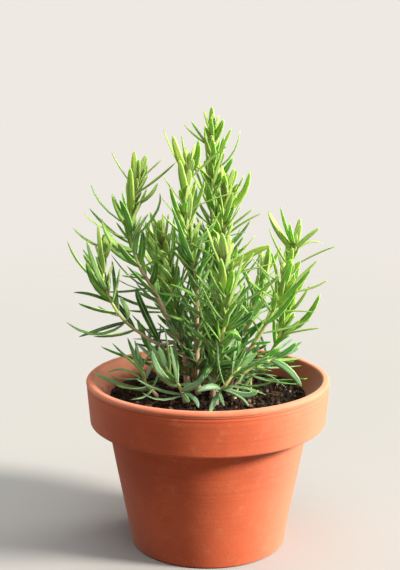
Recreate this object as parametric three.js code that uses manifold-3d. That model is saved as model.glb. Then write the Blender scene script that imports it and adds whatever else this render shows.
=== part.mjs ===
// Rosemary plant in a clay pot: the pot, its soil and the leafy stems that stand in the soil.
// Millimetres, +Z up, origin at the centre of the pot's base, the plant's front towards -Y.
import * as THREE from "three";
import { mergeVertices } from "three/addons/utils/BufferGeometryUtils.js";
import Module from "manifold-3d";

const wasm = await Module();
wasm.setup();

// Pot
const POT_HEIGHT = 106;
const RIM_RADIUS = 75;
const BAND_HEIGHT = 28;
const BAND_FOOT_RADIUS = 73;
const NECK_RADIUS = 62;
const BASE_RADIUS = 48;
const FLOOR_THICKNESS = 8;
const WALL_THICKNESS = 6;
const LIP_INNER_RADIUS = 70.4;
const LIP_ROUND = 2;
const LIP_EDGE = 1.4;
const LIP_GROOVE_BELOW = 4.2;
const LIP_GROOVE_DEEP = 0.7;
const LIP_GROOVE_HALF = 0.8;
const FOOT_EDGE = 1.6;
const FLOOR_ROUND = 3;
const POT_SIDES = 40;
const DRAIN_RADIUS = 4.5;
const DRAIN_RING = 24;
const DRAIN_COUNT = 3;
const DRAIN_TURN = 30;
const DRAIN_SIDES = 16;

// Soil
const SOIL_LEVEL = POT_HEIGHT - 12;
const SOIL_RADIUS = 60.8;
const SOIL_GAP = 0.4;
const SOIL_RINGS = [18, 36, 52];
const FOOT_DEPTH = 20;
const FOOT_GAP = 0.35;
const HOLE_SIDES = 6;

// Stems
const STEM_SIDES = 5;
const AXIS_STEPS = 6;
const STEM_STRIDE = 3;
const FOOT_RISE = 2.5;
const TIP_RADIUS = 0.9;

// Leaves
const LEAF_SIDES = 3;
const LEAF_RINGS = 2;
const LEAF_SHOULDER = 0.62;
const LEAF_TAPER = [0.35, 1, 0];
const LEAF_LENGTH = 29;
const LEAF_WIDTH = 3.2;
const LEAF_CROWN = 0.6;
const LEAF_SAMPLES = 12;
const LEAF_SPACE = 3.1;
const STEM_SPACE = 2.6;
const OWN_STRETCH = 0.35;
const SOIL_SPACE = 2.2;
const WALL_SPACE = 2.2;
const PAIR_GAP_LOW = 9.2;
const PAIR_GAP_TIP = 6;
const SPLAY_LOW = 84;
const SPLAY_TIP = 28;
const LEAF_LIFT = 0.1;
const CURL_LOW = 0.06;
const CURL_TIP = 0.22;
const CURL_SPREAD = 0.8;
const SIDE_SPREAD = 0.5;
const TRIES = 10;
const PAIR_TURN = 90;
const STEM_TURN = 37;
const TURN_SPREAD = 40;
const TURN_SWING = 15;
const SPLAY_SPREAD = 34;
const ROLL_SPREAD = 50;
const WIDTH_SPREAD = 0.3;
const REACH_SPREAD = 0.26;
const REACH_LOSS = 0.035;
const BROAD_LEAF = 3.6;
const FACE_FRONT = new THREE.Vector3(0, -0.8, 0.6);
const SEED = 41;

// Each stem's route starts at its foot; heights in a route are above the soil.
// Its pairs of leaves start above its bare foot and end at its top, if it has one.
// A shoot grows out of another stem's side, in the same node.
// A leaf's along is the distance up its stem at which it stands; it passes through via, if given.
const STEMS = [
  {
    node: "stem_left",
    radius: 1.9,
    bare: 16,
    top: 112,
    route: [
      [-13, 3, 0], [-15, 4, 29], [-23, 1, 44], [-32, -3, 65],
      [-41, -5, 81], [-46, -6, 98], [-46, -3, 115], [-41, 0, 136],
    ],
    leaves: [
      { along: 138, tip: [-44, -3, 151], wide: 3.8 },
      { along: 121, tip: [-46, -10, 142], wide: 4.0 },
      { along: 141, via: [-35, 2, 139], tip: [-27, 4, 146], wide: 2.8 },
      { along: 134, tip: [-19, -6, 145], wide: 2.4 },
      { along: 127, via: [-36, -7, 124], tip: [-30, -11, 133], wide: 3.4 },
      { along: 137, tip: [-58, 4, 150], wide: 2.2 },
      { along: 114, via: [-62, -3, 117], tip: [-70, -2, 131], wide: 2.8 },
      { along: 106, via: [-63, -8, 106], tip: [-74, -11, 115], wide: 2.6 },
      { along: 101, via: [-65, -5, 94], tip: [-81, -4, 105], wide: 2.6 },
      { along: 88, via: [-25, -9, 91], tip: [-11, -13, 101], wide: 2.8 },
      { along: 74, via: [-45, -7, 74], tip: [-58, -10, 90], wide: 3.2 },
      { along: 94, tip: [-61, 3, 98], wide: 2.6 },
      { along: 106, via: [-32, -4, 113], tip: [-29, -3, 126], wide: 3.2 },
      { along: 76, tip: [-31, -11, 87], wide: 4.0 },
      { along: 56, via: [-38, -6, 54], tip: [-48, -11, 56], wide: 2.8 },
      { along: 31, via: [-30, -3, 31], tip: [-44, -8, 35], wide: 2.8 },
      { along: 100, via: [-56, -12, 97], tip: [-63, -14, 112], wide: 4.4 },
      { along: 112, via: [-53, -7, 115], tip: [-57, -8, 126], wide: 3.7 },
      { along: 116, tip: [-51, -10, 128], wide: 2.2 },
      { along: 90, via: [-52, -10, 90], tip: [-60, -13, 98], wide: 3.8 },
      { along: 70, via: [-46, -12, 71], tip: [-57, -15, 78], wide: 2.4 },
      { along: 90, tip: [-39, -9, 104], wide: 3.8 },
    ],
  },
  {
    node: "stem_left",
    shoot: true,
    radius: 1.2,
    bare: 34,
    top: 66,
    route: [
      [-17, 4, 34], [-29, -3, 33], [-41, -8, 41], [-52, -13, 52],
      [-60, -15, 67], [-63, -13, 81], [-63, -10, 90],
    ],
    leaves: [
      { along: 69, via: [-75, -17, 84], tip: [-83, -19, 100], wide: 2.8 },
      { along: 77, tip: [-75, -9, 93], wide: 2.6 },
      { along: 60, via: [-67, -17, 74], tip: [-72, -19, 88], wide: 4.2 },
      { along: 81, tip: [-65, -12, 111], wide: 2.4 },
      { along: 83, tip: [-57, -17, 100], wide: 2.6 },
      { along: 47, tip: [-66, -17, 60], wide: 2.6 },
      { along: 42, via: [-67, -14, 42], tip: [-85, -16, 50], wide: 3.2 },
      { along: 14, via: [-37, -6, 43], tip: [-46, -10, 55], wide: 2.8 },
      { along: 14, via: [-39, -12, 57], tip: [-43, -14, 70], wide: 4.0 },
    ],
  },
  {
    node: "stem_inner_left",
    radius: 1.6,
    bare: 13,
    route: [[-12, 10, 0], [-15, 13, 26], [-19, 15, 50], [-24, 15, 74], [-28, 12, 94]],
  },
  {
    node: "stem_centre_left",
    radius: 1.9,
    bare: 13,
    top: 116,
    route: [
      [-6, -3, 0], [-7, -4, 30], [-7, -9, 51], [-7, -12, 70],
      [-10, -13, 88], [-13, -11, 107], [-13, -9, 125], [-12, -6, 141],
    ],
    leaves: [
      { along: 137, tip: [-27, -1, 162], wide: 2.0 },
      { along: 140, via: [-17, -9, 147], tip: [-21, -11, 161], wide: 3.6 },
      { along: 142, tip: [-16, -5, 162], wide: 2.2 },
      { along: 140, via: [-7, -8, 147], tip: [-6, -10, 158], wide: 3.8 },
      { along: 127, tip: [-17, -15, 147], wide: 3.7 },
      { along: 121, tip: [-27, -7, 138], wide: 2.4 },
      { along: 135, via: [1, -10, 147], tip: [11, -13, 155], wide: 2.4 },
      { along: 116, via: [1, -12, 123], tip: [19, -14, 128], wide: 2.2 },
      { along: 97, via: [8, -14, 101], tip: [23, -16, 105], wide: 2.4 },
      { along: 93, tip: [4, -21, 111], wide: 3.0 },
      { along: 107, via: [-21, -10, 116], tip: [-28, -8, 124], wide: 2.6 },
      { along: 85, tip: [-20, -17, 98], wide: 3.0 },
      { along: 81, tip: [-20, -18, 97], wide: 3.0 },
      { along: 82, via: [-4, -16, 88], tip: [1, -18, 91], wide: 2.4 },
      { along: 99, via: [0, -20, 93], tip: [7, -24, 86], wide: 2.4 },
      { along: 98, tip: [3, -18, 110], wide: 3.0 },
    ],
  },
  {
    node: "stem_tall",
    radius: 2.0,
    bare: 15,
    top: 140,
    route: [
      [-1, 11, 0], [0, 14, 31], [2, 17, 59], [3, 17, 91], [2, 15, 119], [2, 12, 144], [2, 9, 162],
    ],
    leaves: [
      { along: 153, via: [-8, 12, 159], tip: [-15, 13, 166], wide: 2.6 },
      { along: 151, via: [-5, 8, 160], tip: [-10, 5, 168], wide: 2.8 },
      { along: 161, tip: [2, 7, 170], wide: 2.6 },
      { along: 156, tip: [9, 5, 169], wide: 3.6 },
      { along: 142, tip: [14, 16, 163], wide: 2.6 },
      { along: 138, via: [14, 11, 147], tip: [19, 10, 162], wide: 2.6 },
      { along: 128, tip: [15, 8, 146], wide: 3.8 },
      { along: 103, tip: [-7, 21, 121], wide: 2.6 },
    ],
  },
  {
    node: "stem_centre_right",
    radius: 1.7,
    bare: 15,
    route: [[6, 6, 0], [4, 10, 29], [7, 12, 57], [8, 10, 82], [8, 6, 102], [11, 1, 126]],
    leaves: [
      { along: 113, tip: [14, -2, 131], wide: 3.4 },
      { along: 115, via: [20, 5, 123], tip: [25, 6, 138], wide: 3.6 },
      { along: 103, tip: [20, 1, 118], wide: 2.8 },
      { along: 97, via: [21, 9, 106], tip: [33, 10, 112], wide: 2.4 },
      { along: 83, tip: [20, 6, 105], wide: 2.2 },
    ],
  },
  {
    node: "stem_front",
    radius: 1.8,
    bare: 9,
    route: [
      [3, -9, 0], [3, -13, 17], [6, -21, 32], [9, -27, 48], [10, -30, 65], [10, -29, 78], [10, -26, 90],
    ],
    leaves: [
      { along: 52, via: [19, -29, 53], tip: [26, -31, 60], wide: 3.6 },
      { along: 50, via: [17, -30, 46], tip: [17, -33, 33], wide: 3.0 },
      { along: 59, via: [-7, -31, 69], tip: [-23, -33, 77], wide: 3.2 },
      { along: 66, via: [28, -33, 71], tip: [42, -36, 83], wide: 3.2 },
      { along: 88, via: [23, -29, 93], tip: [36, -31, 99], wide: 3.6 },
      { along: 91, tip: [27, -25, 104], wide: 2.6 },
      { along: 52, via: [-6, -26, 58], tip: [-19, -24, 66], wide: 3.2 },
      { along: 27, via: [16, -24, 27], tip: [28, -27, 23], wide: 3.0 },
      { along: 24, via: [21, -24, 26], tip: [37, -26, 26], wide: 3.6 },
      { along: 37, via: [-1, -28, 49], tip: [-5, -30, 65], wide: 2.8 },
      { along: 54, tip: [1, -32, 63], wide: 2.2 },
      { along: 72, tip: [7, -33, 92], wide: 4.2 },
      { along: 74, tip: [14, -32, 89], wide: 3.6 },
      { along: 84, via: [24, -27, 84], tip: [41, -24, 88], wide: 2.0 },
    ],
  },
  {
    node: "stem_right",
    radius: 1.9,
    bare: 12,
    top: 86,
    route: [[13, 0, 0], [17, 1, 18], [26, -2, 30], [36, -6, 48], [43, -9, 64], [48, -8, 81], [52, -4, 95]],
    leaves: [
      { along: 102, via: [42, -3, 103], tip: [36, -2, 115], wide: 3.8 },
      { along: 104, tip: [43, -6, 118], wide: 3.2 },
      { along: 105, tip: [48, -11, 110], wide: 2.6 },
      { along: 103, via: [58, -7, 99], tip: [66, -8, 106], wide: 3.4 },
      { along: 100, via: [60, -2, 96], tip: [69, 0, 95], wide: 2.6 },
      { along: 90, via: [64, -9, 90], tip: [76, -10, 95], wide: 2.2 },
      { along: 76, via: [59, -11, 69], tip: [71, -13, 75], wide: 2.6 },
      { along: 80, tip: [25, -13, 90], wide: 2.8 },
      { along: 71, tip: [23, -16, 77], wide: 3.0 },
      { along: 92, tip: [36, -12, 106], wide: 2.6 },
      { along: 22, via: [32, -7, 28], tip: [44, -12, 33], wide: 3.2 },
      { along: 21, via: [33, 0, 20], tip: [45, 1, 26], wide: 3.4 },
      { along: 88, tip: [55, -11, 86], wide: 3.6 },
      { along: 78, tip: [52, -13, 76], wide: 4.0 },
      { along: 52, via: [29, -12, 52], tip: [23, -14, 50], wide: 2.4 },
    ],
  },
  {
    node: "stem_right_back",
    radius: 1.6,
    bare: 14,
    route: [[17, 10, 0], [25, 16, 11], [37, 20, 18], [45, 22, 31], [48, 21, 46], [51, 18, 61]],
    leaves: [
      { along: 50, via: [60, 20, 42], tip: [70, 18, 60], wide: 3.8 },
      { along: 66, tip: [60, 24, 70], wide: 2.8 },
      { along: 54, tip: [34, 26, 58], wide: 2.8 },
    ],
  },
  {
    node: "stem_back_left",
    radius: 1.7,
    bare: 14,
    route: [[-8, 17, 0], [-12, 22, 22], [-21, 31, 44], [-30, 38, 64], [-35, 41, 84]],
  },
  {
    node: "stem_back",
    radius: 1.8,
    bare: 14,
    route: [[3, 19, 0], [4, 27, 25], [7, 37, 50], [8, 43, 76], [7, 45, 98]],
  },
  {
    node: "stem_back_right",
    radius: 1.6,
    bare: 13,
    route: [[12, 18, 0], [16, 28, 17], [24, 39, 34], [32, 46, 52], [37, 48, 68]],
  },
  {
    node: "sprig_left",
    radius: 1.2,
    bare: 9,
    route: [[-31, -12, 0], [-35, -14, 8], [-38, -15, 12], [-39, -15, 18], [-41, -13, 23]],
    leaves: [
      { along: 16, via: [-36, -13, 19], tip: [-32, -10, 24], wide: 3.2 },
      { along: 24, tip: [-41, -12, 30], wide: 2.4 },
      { along: 22, tip: [-45, -17, 29], wide: 2.4 },
      { along: 15, via: [-50, -15, 20], tip: [-61, -14, 18], wide: 3.0 },
      { along: 18, via: [-50, -17, 15], tip: [-59, -19, 18], wide: 2.4 },
      { along: 12, via: [-46, -21, 10], tip: [-55, -24, 13], wide: 3.2 },
      { along: 9, via: [-38, -27, 7], tip: [-46, -33, 7], wide: 3.0 },
    ],
  },
  {
    node: "sprig_front_left",
    radius: 1.2,
    bare: 9,
    route: [[-14, -24, 0], [-16, -27, 10], [-18, -29, 15], [-22, -30, 20], [-25, -29, 26]],
    leaves: [
      { along: 15, via: [-28, -35, 23], tip: [-33, -34, 37], wide: 4.6 },
      { along: 17, tip: [-25, -38, 26], wide: 3.0 },
      { along: 8, via: [-29, -33, 7], tip: [-39, -35, 12], wide: 2.8 },
      { along: 12, via: [-7, -32, 16], tip: [-3, -30, 22], wide: 4.6 },
      { along: 10, via: [-9, -36, 9], tip: [-6, -46, 6], wide: 3.2 },
    ],
  },
  {
    node: "sprig_front",
    radius: 1.2,
    bare: 9,
    route: [[5, -25, 0], [7, -28, 11], [10, -31, 15], [14, -31, 21], [19, -29, 26]],
    leaves: [
      { along: 14, via: [1, -37, 16], tip: [-7, -41, 14], wide: 4.2 },
      { along: 15, via: [21, -38, 11], tip: [29, -41, 15], wide: 4.2 },
      { along: 13, via: [18, -41, 12], tip: [23, -50, 9], wide: 2.2 },
      { along: 11, via: [7, -38, 10], tip: [9, -49, 8], wide: 2.8 },
      { along: 26, via: [20, -32, 21], tip: [15, -36, 16], wide: 2.2 },
      { along: 28, tip: [22, -28, 35], wide: 2.6 },
    ],
  },
  {
    node: "sprig_front_right",
    radius: 1.2,
    bare: 12,
    route: [[16, -12, 0], [20, -15, 16], [26, -15, 21], [34, -13, 24], [42, -10, 27]],
    leaves: [
      { along: 38, via: [48, -18, 21], tip: [56, -20, 11], wide: 4.8 },
      { along: 28, tip: [38, -20, 21], wide: 2.6 },
      { along: 19, via: [12, -21, 27], tip: [2, -20, 31], wide: 3.4 },
    ],
  },
  {
    node: "sprig_right",
    radius: 1.2,
    bare: 10,
    route: [[26, -2, 0], [26, -3, 9], [27, -2, 14], [30, 0, 18]],
    leaves: [
      { along: 12, via: [36, -4, 14], tip: [48, -6, 6], wide: 2.8 },
      { along: 13, via: [23, -8, 9], tip: [21, -14, 6], wide: 2.6 },
      { along: 16, tip: [37, -4, 19], wide: 2.6 },
    ],
  },
  {
    node: "sprig_back_left",
    radius: 1.2,
    bare: 7,
    route: [[-21, 16, 0], [-28, 21, 8], [-35, 26, 16], [-40, 30, 27]],
  },
  {
    node: "sprig_back",
    radius: 1.2,
    bare: 7,
    route: [[0, 29, 0], [0, 36, 7], [-2, 43, 15], [-3, 48, 26]],
  },
];

const TERRACOTTA = new THREE.MeshStandardMaterial({ color: 0xc8744f, roughness: 0.88, metalness: 0 });
const SOIL = new THREE.MeshStandardMaterial({ color: 0x33231a, roughness: 0.97, metalness: 0 });
const FOLIAGE = new THREE.MeshStandardMaterial({ color: 0x6a9140, roughness: 0.55, metalness: 0 });

const mix = THREE.MathUtils.lerp;
const radians = THREE.MathUtils.degToRad;
const point = (p) => new THREE.Vector3(p[0], p[1], p[2] + SOIL_LEVEL);

// A closed geometry as a solid that can be joined and cut.
function solid(geometry) {
  const bare = geometry.clone();
  bare.deleteAttribute("normal");
  bare.deleteAttribute("uv");
  const merged = mergeVertices(bare, 1e-4);
  return new wasm.Manifold(
    new wasm.Mesh({
      numProp: 3,
      vertProperties: new Float32Array(merged.attributes.position.array),
      triVerts: new Uint32Array(merged.index.array),
    }),
  );
}

function meshOf(name, body, material) {
  const { numProp, numVert, vertProperties, triVerts } = body.getMesh();
  const positions = new Float32Array(numVert * 3);
  for (let i = 0; i < numVert; i++) {
    positions.set(vertProperties.subarray(i * numProp, i * numProp + 3), i * 3);
  }
  const geometry = new THREE.BufferGeometry();
  geometry.setAttribute("position", new THREE.BufferAttribute(positions, 3));
  geometry.setIndex(new THREE.BufferAttribute(new Uint32Array(triVerts), 1));
  geometry.computeVertexNormals();
  const mesh = new THREE.Mesh(geometry, material.clone());
  mesh.name = name;
  return mesh;
}

// Draws between 0 and 1, the same each time for the same seed.
function drawing(seed) {
  let state = seed >>> 0;
  const draw = () => {
    state = (Math.imul(state, 1664525) + 1013904223) >>> 0;
    return state / 4294967296;
  };
  draw();
  return draw;
}

// The wall's inside radius, flaring from the neck to the lip.
function insideRadius(z) {
  const neck = POT_HEIGHT - BAND_HEIGHT;
  if (z < neck) {
    return mix(BASE_RADIUS, NECK_RADIUS, z / neck) - WALL_THICKNESS;
  }
  if (z < SOIL_LEVEL) {
    return mix(NECK_RADIUS - WALL_THICKNESS, SOIL_RADIUS, (z - neck) / (SOIL_LEVEL - neck));
  }
  return mix(SOIL_RADIUS, LIP_INNER_RADIUS, (z - SOIL_LEVEL) / (POT_HEIGHT - SOIL_LEVEL));
}

function turned(profile) {
  const geometry = new THREE.LatheGeometry(profile, POT_SIDES);
  return solid(geometry.rotateX(Math.PI / 2));
}

function upright(radius, height, sides, x, y, bottom) {
  const geometry = new THREE.CylinderGeometry(radius, radius, height, sides);
  return solid(geometry.rotateX(Math.PI / 2).translate(x, y, bottom + height / 2));
}

function makePot() {
  const neck = POT_HEIGHT - BAND_HEIGHT;
  const groove = POT_HEIGHT - LIP_GROOVE_BELOW;
  const bandRadius = (z) => mix(BAND_FOOT_RADIUS, RIM_RADIUS, (z - neck) / BAND_HEIGHT);
  const outline = new THREE.Path();
  outline.moveTo(0, 0);
  outline.lineTo(BASE_RADIUS - FOOT_EDGE, 0);
  outline.lineTo(BASE_RADIUS, FOOT_EDGE);
  outline.lineTo(NECK_RADIUS, neck);
  outline.lineTo(BAND_FOOT_RADIUS - FOOT_EDGE, neck);
  outline.lineTo(BAND_FOOT_RADIUS, neck + FOOT_EDGE);
  outline.lineTo(bandRadius(groove - LIP_GROOVE_HALF), groove - LIP_GROOVE_HALF);
  outline.lineTo(bandRadius(groove) - LIP_GROOVE_DEEP, groove);
  outline.lineTo(bandRadius(groove + LIP_GROOVE_HALF), groove + LIP_GROOVE_HALF);
  outline.lineTo(RIM_RADIUS, POT_HEIGHT - LIP_EDGE);
  outline.lineTo(RIM_RADIUS - LIP_ROUND, POT_HEIGHT);
  outline.lineTo(LIP_INNER_RADIUS, POT_HEIGHT - LIP_EDGE / 2);
  outline.lineTo(SOIL_RADIUS, SOIL_LEVEL);
  outline.lineTo(insideRadius(neck), neck);
  outline.lineTo(insideRadius(FLOOR_THICKNESS + FLOOR_ROUND), FLOOR_THICKNESS + FLOOR_ROUND);
  outline.lineTo(insideRadius(FLOOR_THICKNESS) - FLOOR_ROUND, FLOOR_THICKNESS);
  outline.lineTo(0, FLOOR_THICKNESS);
  let pot = turned(outline.getPoints());
  for (let i = 0; i < DRAIN_COUNT; i++) {
    const angle = radians(DRAIN_TURN + (360 / DRAIN_COUNT) * i);
    const x = DRAIN_RING * Math.cos(angle);
    const y = DRAIN_RING * Math.sin(angle);
    pot = pot.subtract(upright(DRAIN_RADIUS, FLOOR_THICKNESS + 4, DRAIN_SIDES, x, y, -2));
  }
  return meshOf("pot", pot, TERRACOTTA);
}

// Low crumbs and hollows of the soil's surface.
function soilLump(x, y) {
  return 0.8 * Math.sin(x / 7.1 + 1.3) * Math.cos(y / 6.3) + 0.5 * Math.sin(x / 3.9 - y / 4.7);
}

function makeSoil(axes) {
  const neck = POT_HEIGHT - BAND_HEIGHT;
  const bottom = FLOOR_THICKNESS + SOIL_GAP;
  const profile = [
    [0, bottom],
    [insideRadius(FLOOR_THICKNESS) - FLOOR_ROUND - SOIL_GAP, bottom],
    [insideRadius(FLOOR_THICKNESS + FLOOR_ROUND) - SOIL_GAP, bottom + FLOOR_ROUND],
    [insideRadius(neck) - SOIL_GAP, neck],
    [SOIL_RADIUS - SOIL_GAP - 0.4, SOIL_LEVEL - 0.6],
    ...SOIL_RINGS.map((radius) => [radius, SOIL_LEVEL]).reverse(),
    [0, SOIL_LEVEL],
  ].map(([radius, z]) => new THREE.Vector2(radius, z));
  const geometry = new THREE.LatheGeometry(profile, POT_SIDES).rotateX(Math.PI / 2);
  const place = geometry.attributes.position;
  for (let i = 0; i < place.count; i++) {
    if (place.getZ(i) > SOIL_LEVEL - 0.1) {
      place.setZ(i, SOIL_LEVEL + soilLump(place.getX(i), place.getY(i)));
    }
  }
  let soil = solid(geometry);
  for (const { stem, points } of axes) {
    if (stem.shoot) continue;
    const radius = (stem.radius + FOOT_GAP) / Math.cos(Math.PI / HOLE_SIDES);
    const { x, y } = points[0];
    const foot = SOIL_LEVEL - FOOT_DEPTH - FOOT_GAP;
    soil = soil.subtract(upright(radius, FOOT_DEPTH + 6, HOLE_SIDES, x, y, foot));
  }
  return meshOf("soil", soil, SOIL);
}

// A stem's centre line: straight in the soil, then a smooth curve through its route.
function layAxis(stem) {
  const route = stem.route.map(point);
  if (!stem.shoot) {
    route[0].z += FOOT_RISE;
  }
  const curve = new THREE.CatmullRomCurve3(route, false, "catmullrom", 0.5);
  const points = curve.getPoints((route.length - 1) * AXIS_STEPS);
  if (!stem.shoot) {
    points.unshift(point(stem.route[0]).setZ(SOIL_LEVEL - FOOT_DEPTH));
  }
  const lengths = [0];
  for (let i = 1; i < points.length; i++) {
    lengths.push(lengths[i - 1] + points[i].distanceTo(points[i - 1]));
  }
  const below = stem.shoot ? 0 : FOOT_DEPTH;
  const chord = points[points.length - 1].clone().sub(points[0]).normalize();
  const across = Math.abs(chord.y) > 0.6 ? new THREE.Vector3(1, 0, 0) : new THREE.Vector3(0, 1, 0);
  return { stem, points, lengths, below, across, length: lengths[lengths.length - 1] - below };
}

// The point, direction and two cross directions of a stem at a distance above the soil.
function axisAt(axis, distance) {
  const { points, lengths } = axis;
  const s = distance + axis.below;
  let i = 1;
  while (i < points.length - 1 && lengths[i] < s) i++;
  const t = (s - lengths[i - 1]) / (lengths[i] - lengths[i - 1]);
  const along = points[i].clone().sub(points[i - 1]).normalize();
  const first = axis.across.clone().addScaledVector(along, -axis.across.dot(along)).normalize();
  return {
    at: points[i - 1].clone().lerp(points[i], t),
    along,
    first,
    second: first.clone().cross(along),
  };
}

function stemRadius(axis, distance) {
  const share = Math.min(1, Math.max(0, distance / axis.length));
  return mix(axis.stem.radius, TIP_RADIUS, share);
}

// A leaf is a blade on a curve from its root through one bend to its tip.
function makeLeaf(root, bend, tip, stemAlong, width, roll) {
  const chord = tip.clone().sub(root).normalize();
  let side = chord.clone().cross(stemAlong);
  if (side.length() < 0.1) {
    side = chord.clone().cross(new THREE.Vector3(0, 1, 0.2));
  }
  side.normalize().applyAxisAngle(chord, roll);
  const curve = new THREE.QuadraticBezierCurve3(root, bend, tip);
  const samples = [];
  for (let i = 0; i <= LEAF_SAMPLES; i++) {
    samples.push(curve.getPoint(i / LEAF_SAMPLES));
  }
  return { curve, side, width, samples };
}

function clearOfPot(samples) {
  return samples.every((p, i) => {
    const low = i > 1 && p.z < SOIL_LEVEL + SOIL_SPACE;
    const wall = p.z < POT_HEIGHT + WALL_SPACE;
    return !low && !(wall && Math.hypot(p.x, p.y) > insideRadius(p.z) - WALL_SPACE);
  });
}

// Whether a leaf keeps clear of the pot, the soil, and every stem and leaf that is there already.
function isClear(leaf, node, grown, axes) {
  if (!clearOfPot(leaf.samples)) return false;
  for (const axis of axes) {
    if (axis.stem.node === node) continue;
    const space = STEM_SPACE ** 2;
    for (const p of leaf.samples) {
      if (axis.spots.some((q) => p.distanceToSquared(q) < space)) return false;
    }
  }
  const own = Math.round(LEAF_SAMPLES * OWN_STRETCH);
  for (const other of grown) {
    const start = other.node === node ? own : 0;
    const mine = leaf.samples;
    const theirs = other.samples;
    for (let i = start; i < mine.length; i++) {
      for (let j = start; j < theirs.length; j++) {
        if (mine[i].distanceToSquared(theirs[j]) < LEAF_SPACE ** 2) return false;
      }
    }
  }
  return true;
}

// A hand-placed leaf, bent a little nearer or further until it is clear.
function placedLeaf(axis, { along, via, tip, wide }, turn) {
  const place = axisAt(axis, Math.min(along, axis.length - 0.5));
  const shift = new THREE.Vector3(0, 1.6, 0.5).multiplyScalar(turn % 2 ? -(turn + 1) / 2 : turn / 2);
  const end = point(tip).add(shift);
  const middle = via ? point(via).addScaledVector(shift, 0.6) : place.at.clone().lerp(end, 0.5);
  if (!via) {
    middle.addScaledVector(place.along, -1.5);
  }
  const bend = middle.multiplyScalar(2).sub(place.at.clone().add(end).multiplyScalar(0.5));
  const facing = wide < BROAD_LEAF ? place.along : FACE_FRONT;
  return makeLeaf(place.at, bend, end, facing, wide, 0);
}

// One leaf of a pair: higher leaves are steeper, and lower ones spread.
function ruledLeaf(axis, along, azimuth, draw, turn) {
  const place = axisAt(axis, along);
  const rise = along / axis.length;
  const swing = (turn % 2 ? -1 : 1) * Math.ceil(turn / 2);
  const angle = radians(azimuth + TURN_SPREAD * (draw() - 0.5) + TURN_SWING * swing);
  const splay = radians(mix(SPLAY_LOW, SPLAY_TIP, rise ** 1.2) + SPLAY_SPREAD * (draw() - 0.5));
  const swell = 0.6 + 0.48 * Math.sin(Math.PI * (0.2 + 0.8 * rise));
  const reach = LEAF_LENGTH * swell * (0.86 + REACH_SPREAD * draw()) * (1 - REACH_LOSS * turn);
  const out = place.first.clone().multiplyScalar(Math.cos(angle));
  out.addScaledVector(place.second, Math.sin(angle));
  const heading = place.along.clone().multiplyScalar(Math.cos(splay));
  heading.addScaledVector(out, Math.sin(splay));
  heading.z += LEAF_LIFT;
  heading.normalize();
  const curl = mix(CURL_LOW, CURL_TIP, rise) + CURL_SPREAD * (draw() - 0.5);
  const bend = place.at.clone().addScaledVector(heading, reach * 0.5);
  const tip = place.at.clone().addScaledVector(heading, reach * 0.97);
  tip.addScaledVector(place.along, curl * reach);
  const width = LEAF_WIDTH * (0.85 + WIDTH_SPREAD * draw());
  const roll = radians(ROLL_SPREAD * (draw() - 0.5));
  const sideways = heading.clone().cross(place.along).normalize();
  tip.addScaledVector(sideways, SIDE_SPREAD * (draw() - 0.5) * reach);
  return makeLeaf(place.at, bend, tip, place.along, width, roll);
}

function pairPlaces(axis) {
  const places = [];
  let along = axis.stem.bare;
  while (along < Math.min(axis.stem.top ?? axis.length, axis.length - 1)) {
    places.push(along);
    along += mix(PAIR_GAP_LOW, PAIR_GAP_TIP, along / axis.length);
  }
  return places;
}

function growLeaves(axes) {
  const grown = [];
  const grow = (node, candidate) => {
    for (let turn = 0; turn < TRIES; turn++) {
      const leaf = candidate(turn);
      if (isClear(leaf, node, grown, axes)) {
        grown.push({ ...leaf, node });
        return;
      }
    }
  };
  for (const axis of axes) {
    for (const leaf of axis.stem.leaves ?? []) {
      grow(axis.stem.node, (turn) => placedLeaf(axis, leaf, turn));
    }
  }
  axes.forEach((axis, number) => {
    pairPlaces(axis).forEach((along, pair) => {
      for (const half of [0, 1]) {
        const seed = SEED + 7919 * number + 613 * pair + 101 * half;
        const azimuth = STEM_TURN * number + PAIR_TURN * pair + 180 * half;
        grow(axis.stem.node, (turn) => ruledLeaf(axis, along, azimuth, drawing(seed), turn));
      }
    });
  });
  return grown;
}

// A tapered round stem: a cylinder whose rings are set along the stem's centre line.
function stemSolid(axis) {
  const start = axis.stem.shoot ? [0] : [0, 1];
  const last = axis.points.length - 1;
  const rings = [...start];
  for (let i = start.at(-1) + STEM_STRIDE; i <= last; i += STEM_STRIDE) {
    rings.push(i);
  }
  const steps = rings.length - 1;
  const geometry = new THREE.CylinderGeometry(1, 1, 1, STEM_SIDES, steps);
  const place = geometry.attributes.position;
  for (let i = 0; i < place.count; i++) {
    const ring = rings[Math.round((place.getY(i) + 0.5) * steps)];
    const distance = axis.lengths[ring] - axis.below;
    const { at, along, first, second } = axisAt(axis, distance);
    const radius = stemRadius(axis, distance);
    const spot = at.clone();
    spot.addScaledVector(first, place.getX(i) * radius);
    spot.addScaledVector(second, place.getZ(i) * radius);
    place.setXYZ(i, spot.x, spot.y, spot.z);
  }
  return solid(geometry);
}

// A blade with a low crown along its middle: a cone whose rings are set along the leaf's curve.
function leafSolid({ curve, side, width }) {
  const geometry = new THREE.ConeGeometry(1, 1, LEAF_SIDES, LEAF_RINGS);
  const place = geometry.attributes.position;
  const halfEdge = Math.sin((2 * Math.PI) / LEAF_SIDES);
  for (let i = 0; i < place.count; i++) {
    const ring = Math.round((place.getY(i) + 0.5) * LEAF_RINGS);
    const t = [0, LEAF_SHOULDER, 1][ring];
    const left = ring < LEAF_RINGS ? 1 - ring / LEAF_RINGS : 1;
    const heading = curve.getTangent(t);
    const across = side.clone().addScaledVector(heading, -side.dot(heading)).normalize();
    const over = across.clone().cross(heading);
    const spot = curve.getPoint(t);
    spot.addScaledVector(across, ((place.getX(i) / left / halfEdge) * LEAF_TAPER[ring] * width) / 2);
    spot.addScaledVector(over, (place.getZ(i) / left) * LEAF_CROWN);
    place.setXYZ(i, spot.x, spot.y, spot.z);
  }
  return solid(geometry);
}

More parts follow.
